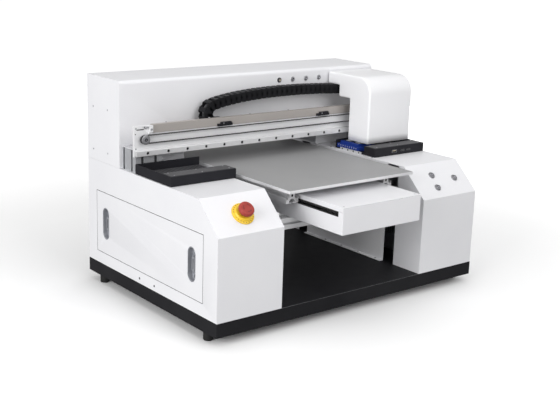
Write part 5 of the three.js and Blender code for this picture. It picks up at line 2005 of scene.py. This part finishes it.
@dataclass
class BedUnit:
    """The white box under the bed with its lid, rails, beams and carriers."""

    edge: float = 0.0010
    brush_gap: tuple[float, float] = (0.3014, 0.3062)

    def build(self) -> None:
        """Makes the box, the slot's brushes, the beams and the carriers."""
        softened("y_box", WHITE_PAINT, self.edge)
        softened("y_box_lid", WHITE_PAINT, self.edge)
        self.brushes()
        self.fittings()
        for side in Side:
            softened(f"{side.word}_y_rail", GROUND_STEEL, 0.0006)
            softened(f"{side.word}_lift_carrier", GRIP_GREY, 0.0010)
        for end in ("front", "rear"):
            slotted_piece(f"{end}_cross_beam", Axis.X, 1, 1)

    def brushes(self) -> None:
        """Dark brush strips that close the box's side slots above and below the saddle."""
        low, high = corners_of("y_box")
        lid = corners_of("y_box_lid")[0][2]
        parts: Parts = []
        for x0, x1 in ((low[0] + 0.0024, low[0] + 0.0052), (high[0] - 0.0052, high[0] - 0.0024)):
            for z0, z1 in ((lid - 0.0165, self.brush_gap[0]), (self.brush_gap[1], lid + 0.002)):
                parts.append((block((x0, low[1] + 0.008, z0), (x1, high[1] - 0.008, z1)), RUBBER_AND_SEAM_SHADE))
        make_piece("y_box_brushes", "bed_unit", parts, 0.0003)

    def fittings(self) -> None:
        """Screws on the lid, on the box's ends and where the beams are bolted on."""
        low, high = corners_of("y_box")
        lid_high = corners_of("y_box_lid")[1]
        for y in np.linspace(low[1] + 0.012, high[1] - 0.012, 5):
            for x in (low[0] + 0.012, high[0] - 0.012):
                if abs(y - low[1] - 0.012) < 0.001 or y > 0.29:
                    SCREWS.add("bed_unit", (x, y, lid_high[2]), UP, 0.0024, Head.FLUSH)
        for x in (low[0] + 0.02, (low[0] + high[0]) / 2, high[0] - 0.02):
            SCREWS.add("bed_unit", (x, high[1], low[2] + 0.012), REAR, 0.0026)
        for end in ("front", "rear"):
            beam_low, beam_high = corners_of(f"{end}_cross_beam")
            y = (beam_low[1] + beam_high[1]) / 2
            for x in (low[0] + 0.030, high[0] - 0.030):
                SCREWS.add("bed_unit", (x, y, beam_low[2] + 0.0094), DOWN, 0.0034, Head.CAP)


# ---- drives and electrics


@dataclass
class Drives:
    """The lift motors and screws, and the two units inside the covers."""

    thread_pitch: float = 0.005
    thread_depth: float = 0.0008

    def build(self) -> None:
        """Makes the motors, the screws and both units."""
        for side in Side:
            stepper(f"{side.word}_lift_motor", Axis.Z)
            self.screw(side)
        self.supply()
        self.control()

    def screw(self, side: Side) -> None:
        """A threaded lift screw over a clamped coupling.

        The thread's radius is the outer radius minus the depth times a rounded step of the
        cosine of 2 pi * (height / pitch - angle / 2 pi), which winds one start up the rod.

        Args:
            side: which screw.
        """
        node = f"{side.word}_lift_screw"
        low, high = corners_of(node)
        x, y = (low[:2] + high[:2]) / 2
        coupling, rod = (high[0] - low[0]) / 2, 0.006
        base = low[2] + 0.010
        angle = np.linspace(0, 2 * np.pi, 20, endpoint=False)
        height = np.arange(base, high[2] - 0.001, self.thread_pitch / 9)
        phase = 2 * np.pi * (height[:, None] / self.thread_pitch) - angle[None, :]
        radius = rod - self.thread_depth * (0.5 - 0.5 * np.tanh(2.2 * np.cos(phase)))
        thread = grid(round_rings(radius, height, angle), wrap_columns=True).moved(x, y)
        tip = turned([(rod - 0.0008, height[-1]), (rod - 0.0010, high[2])], 20).moved(x, y)
        clamp = turned([
            (coupling - 0.0006, low[2]), (coupling, low[2] + 0.0006), (coupling, low[2] + 0.0044),
            (coupling - 0.0007, low[2] + 0.0047), (coupling - 0.0007, low[2] + 0.0053),
            (coupling, low[2] + 0.0056), (coupling, base - 0.0006), (coupling - 0.0006, base)],
            32).moved(x, y)
        stand_in(node, [
            (thread, SCREW_STEEL), (tip, SCREW_STEEL), (clamp, ALUMINIUM_Z)], smooth=50)

    def supply(self) -> None:
        """The power supply: a pressed steel case with rows of holes, drawn as flat black discs of
        painted shade, and a terminal block.
        """
        low, high = corners_of("power_supply")
        case = block(low, (high[0], high[1] - 0.022, high[2]))
        shelf = block((low[0], high[1] - 0.023, low[2]), (high[0], high[1], low[2] + 0.010))
        rail = block((low[0] + 0.004, high[1] - 0.020, low[2] + 0.009),
                     (high[0] - 0.004, high[1] - 0.004, low[2] + 0.024))
        parts = [(case, GRIP_GREY), (shelf, GRIP_GREY), (rail, BLACK_PLASTIC_AND_HOLE_SHADE)]
        # Painted shade: each hole is a flat black disc.
        hole = turned([(0.0022, -0.0003), (0.0022, 0.00005)], 12)
        xs, ys = np.meshgrid(np.arange(low[0] + 0.014, high[0] - 0.010, 0.009),
                             np.arange(low[1] + 0.020, high[1] - 0.050, 0.009))
        for x, y in zip(xs.ravel(), ys.ravel()):
            parts.append((hole.moved(x, y, high[2]), BLACK_PLASTIC_AND_HOLE_SHADE))
        stand_in("power_supply", parts, 0.0004)
        for x in np.linspace(low[0] + 0.012, high[0] - 0.012, 8):
            SCREWS.add("root", (x, high[1] - 0.012, low[2] + 0.024), UP, 0.0030)

    def control(self) -> None:
        """The control unit: a ribbed lid over a flanged case, with sockets on its front."""
        low, high = corners_of("control_unit")
        case = block((low[0] + 0.004, low[1], low[2]), (high[0] - 0.004, high[1], high[2] - 0.002))
        flange = block(low, (high[0], high[1], low[2] + 0.002))
        parts = [(case, BLACK_PAINT), (flange, BLACK_PAINT)]
        for y in np.arange(low[1] + 0.012, high[1] - 0.008, 0.010):
            rib = block((low[0] + 0.010, y, high[2] - 0.003), (high[0] - 0.010, y + 0.004, high[2]))
            parts.append((rib, BLACK_PAINT))
        for index in range(5):
            x = low[0] + 0.014 + index * 0.0165
            socket = block((x, low[1] - 0.0002, low[2] + 0.010),
                           (x + 0.012, low[1] + 0.002, low[2] + 0.020))
            parts.append((socket, (FOAM_WHITE, GRIP_GREY)[index % 2]))
        stand_in("control_unit", parts, 0.0005)


# ---- studio


@dataclass
class Studio:
    """The pale floor, the soft lights and the camera."""

    eye: tuple[float, float, float] = (-1.7616, -2.1204, 0.9568)
    azimuth: float = -38.895
    elevation: float = 14.470
    roll: float = 1.917
    lens: float = 65.25
    floor_size: float = 30.0
    room_light: float = 0.58
    floor_light: float = 0.40
    floor_glow: float = 0.5

    def build(self) -> None:
        """Makes the floor, the light and the camera."""
        self.floor()
        self.lights()
        self.camera()

    def floor(self) -> None:
        """A wide white floor that fades into the background."""
        half = self.floor_size / 2
        mesh = bpy.data.meshes.new("studio_floor")
        corners = [(-half, -half, 0), (half, -half, 0), (half, half, 0), (-half, half, 0)]
        mesh.from_pydata(corners, [], [(0, 1, 2, 3)])
        graph = Graph("studio_white")
        graph.shader.inputs["Base Color"].default_value = (0.93, 0.93, 0.93, 1.0)
        distance = graph.value("ShaderNodeVectorMath", {"operation": "LENGTH"},
                               {0: graph.place()}, "Value")
        glow = graph.tint((0.0, 0.0, 0.0), (self.floor_glow,) * 3, distance.between(0.5, 2.6))
        graph.feed(graph.shader.inputs["Emission Color"], glow)
        graph.shader.inputs["Emission Strength"].default_value = 1.0
        graph.shader.inputs["Roughness"].default_value = 0.9
        graph.shader.inputs["Specular IOR Level"].default_value = 0.1
        mesh.materials.append(graph.material)
        floor = bpy.data.objects.new("studio_floor", mesh)
        bpy.context.scene.collection.objects.link(floor)
        floor.visible_diffuse = False
        floor.visible_glossy = False

    def lights(self) -> None:
        """A bright even surrounding with large soft lights above, left, in front and behind."""
        world = bpy.data.worlds.new("studio")
        bpy.context.scene.world = world
        world.use_nodes = True
        tree = world.node_tree
        room = tree.nodes["Background"]
        backdrop = tree.nodes.new("ShaderNodeBackground")
        backdrop.inputs["Color"].default_value = (1.0, 1.0, 1.0, 1.0)
        place = tree.nodes.new("ShaderNodeTexCoord")
        axes = tree.nodes.new("ShaderNodeSeparateXYZ")
        height = tree.nodes.new("ShaderNodeMapRange")
        for socket, value in zip(("From Min", "From Max", "To Min", "To Max"),
                                 (-0.3, 0.5, self.floor_light, self.room_light)):
            height.inputs[socket].default_value = value
        tree.links.new(place.outputs["Generated"], axes.inputs[0])
        tree.links.new(axes.outputs["Z"], height.inputs["Value"])
        tree.links.new(height.outputs[0], room.inputs["Strength"])
        room.inputs["Color"].default_value = (1.0, 1.0, 1.0, 1.0)
        mix = tree.nodes.new("ShaderNodeMixShader")
        path = tree.nodes.new("ShaderNodeLightPath")
        tree.links.new(path.outputs["Is Camera Ray"], mix.inputs[0])
        tree.links.new(room.outputs[0], mix.inputs[1])
        tree.links.new(backdrop.outputs[0], mix.inputs[2])
        tree.links.new(mix.outputs[0], tree.nodes["World Output"].inputs["Surface"])
        for name, place, aim, size, power in (
            ("overhead", (0.1, -0.3, 2.6), (0, 0, 0.2), 2.4, 13.0),
            ("left_side", (-3.2, -0.8, 1.1), (0, 0, 0.3), 2.0, 76.0),
            ("front_high", (0.1, -2.6, 1.9), (0.05, 0.19, 0.45), 1.6, 31.0),
            ("right_rear", (3.0, 1.3, 0.45), (0, 0, 0.3), 2.0, 34.0),
        ):
            lamp = bpy.data.lights.new(name, "AREA")
            lamp.size = size
            lamp.energy = power
            holder = bpy.data.objects.new(name, lamp)
            holder.location = place
            direction = Vector(aim) - Vector(place)
            holder.rotation_euler = direction.to_track_quat("-Z", "Y").to_euler()
            holder.visible_glossy = name != "right_rear"
            bpy.context.scene.collection.objects.link(holder)

    def camera(self) -> None:
        """The camera: its three axes follow from azimuth, elevation and roll."""
        azimuth, elevation, roll = (math.radians(a) for a in
                                    (self.azimuth, self.elevation, self.roll))
        back = Vector((math.sin(azimuth) * math.cos(elevation),
                       -math.cos(azimuth) * math.cos(elevation), math.sin(elevation)))
        level = Vector((0, 0, 1)).cross(back).normalized()
        upright = back.cross(level)
        right = math.cos(roll) * level + math.sin(roll) * upright
        top = back.cross(right)
        lens = bpy.data.cameras.new("camera")
        lens.lens = self.lens
        lens.sensor_width = 36.0
        lens.clip_end = 60.0
        camera = bpy.data.objects.new("camera", lens)
        camera.matrix_world = Matrix((right, top, back)).transposed().to_4x4()
        camera.location = self.eye
        bpy.context.scene.collection.objects.link(camera)
        bpy.context.scene.camera = camera
        bpy.context.scene.view_settings.view_transform = "Standard"


# ---- the whole machine


def main() -> None:
    """Builds the studio and every sub-assembly in order."""
    logging.basicConfig(level=logging.INFO, format="%(message)s")
    Studio().build()
    assemblies = (
        Base(), SideCover(Side.LEFT), SideCover(Side.RIGHT), StopSwitch(), PushButtons(), Hood(),
        Gantry(), CableChain(), Trays(), Carriage(), Bed(), BedUnit(), Drives(), SCREWS,
    )
    for assembly in assemblies:
        log.info("building %s", type(assembly).__name__)
        assembly.build()
    bare = [name for name, node in NODES.items() if not node.hide_render]
    log.info("CAD nodes still shown: %s", bare)


if __name__ == "__main__":
    main()
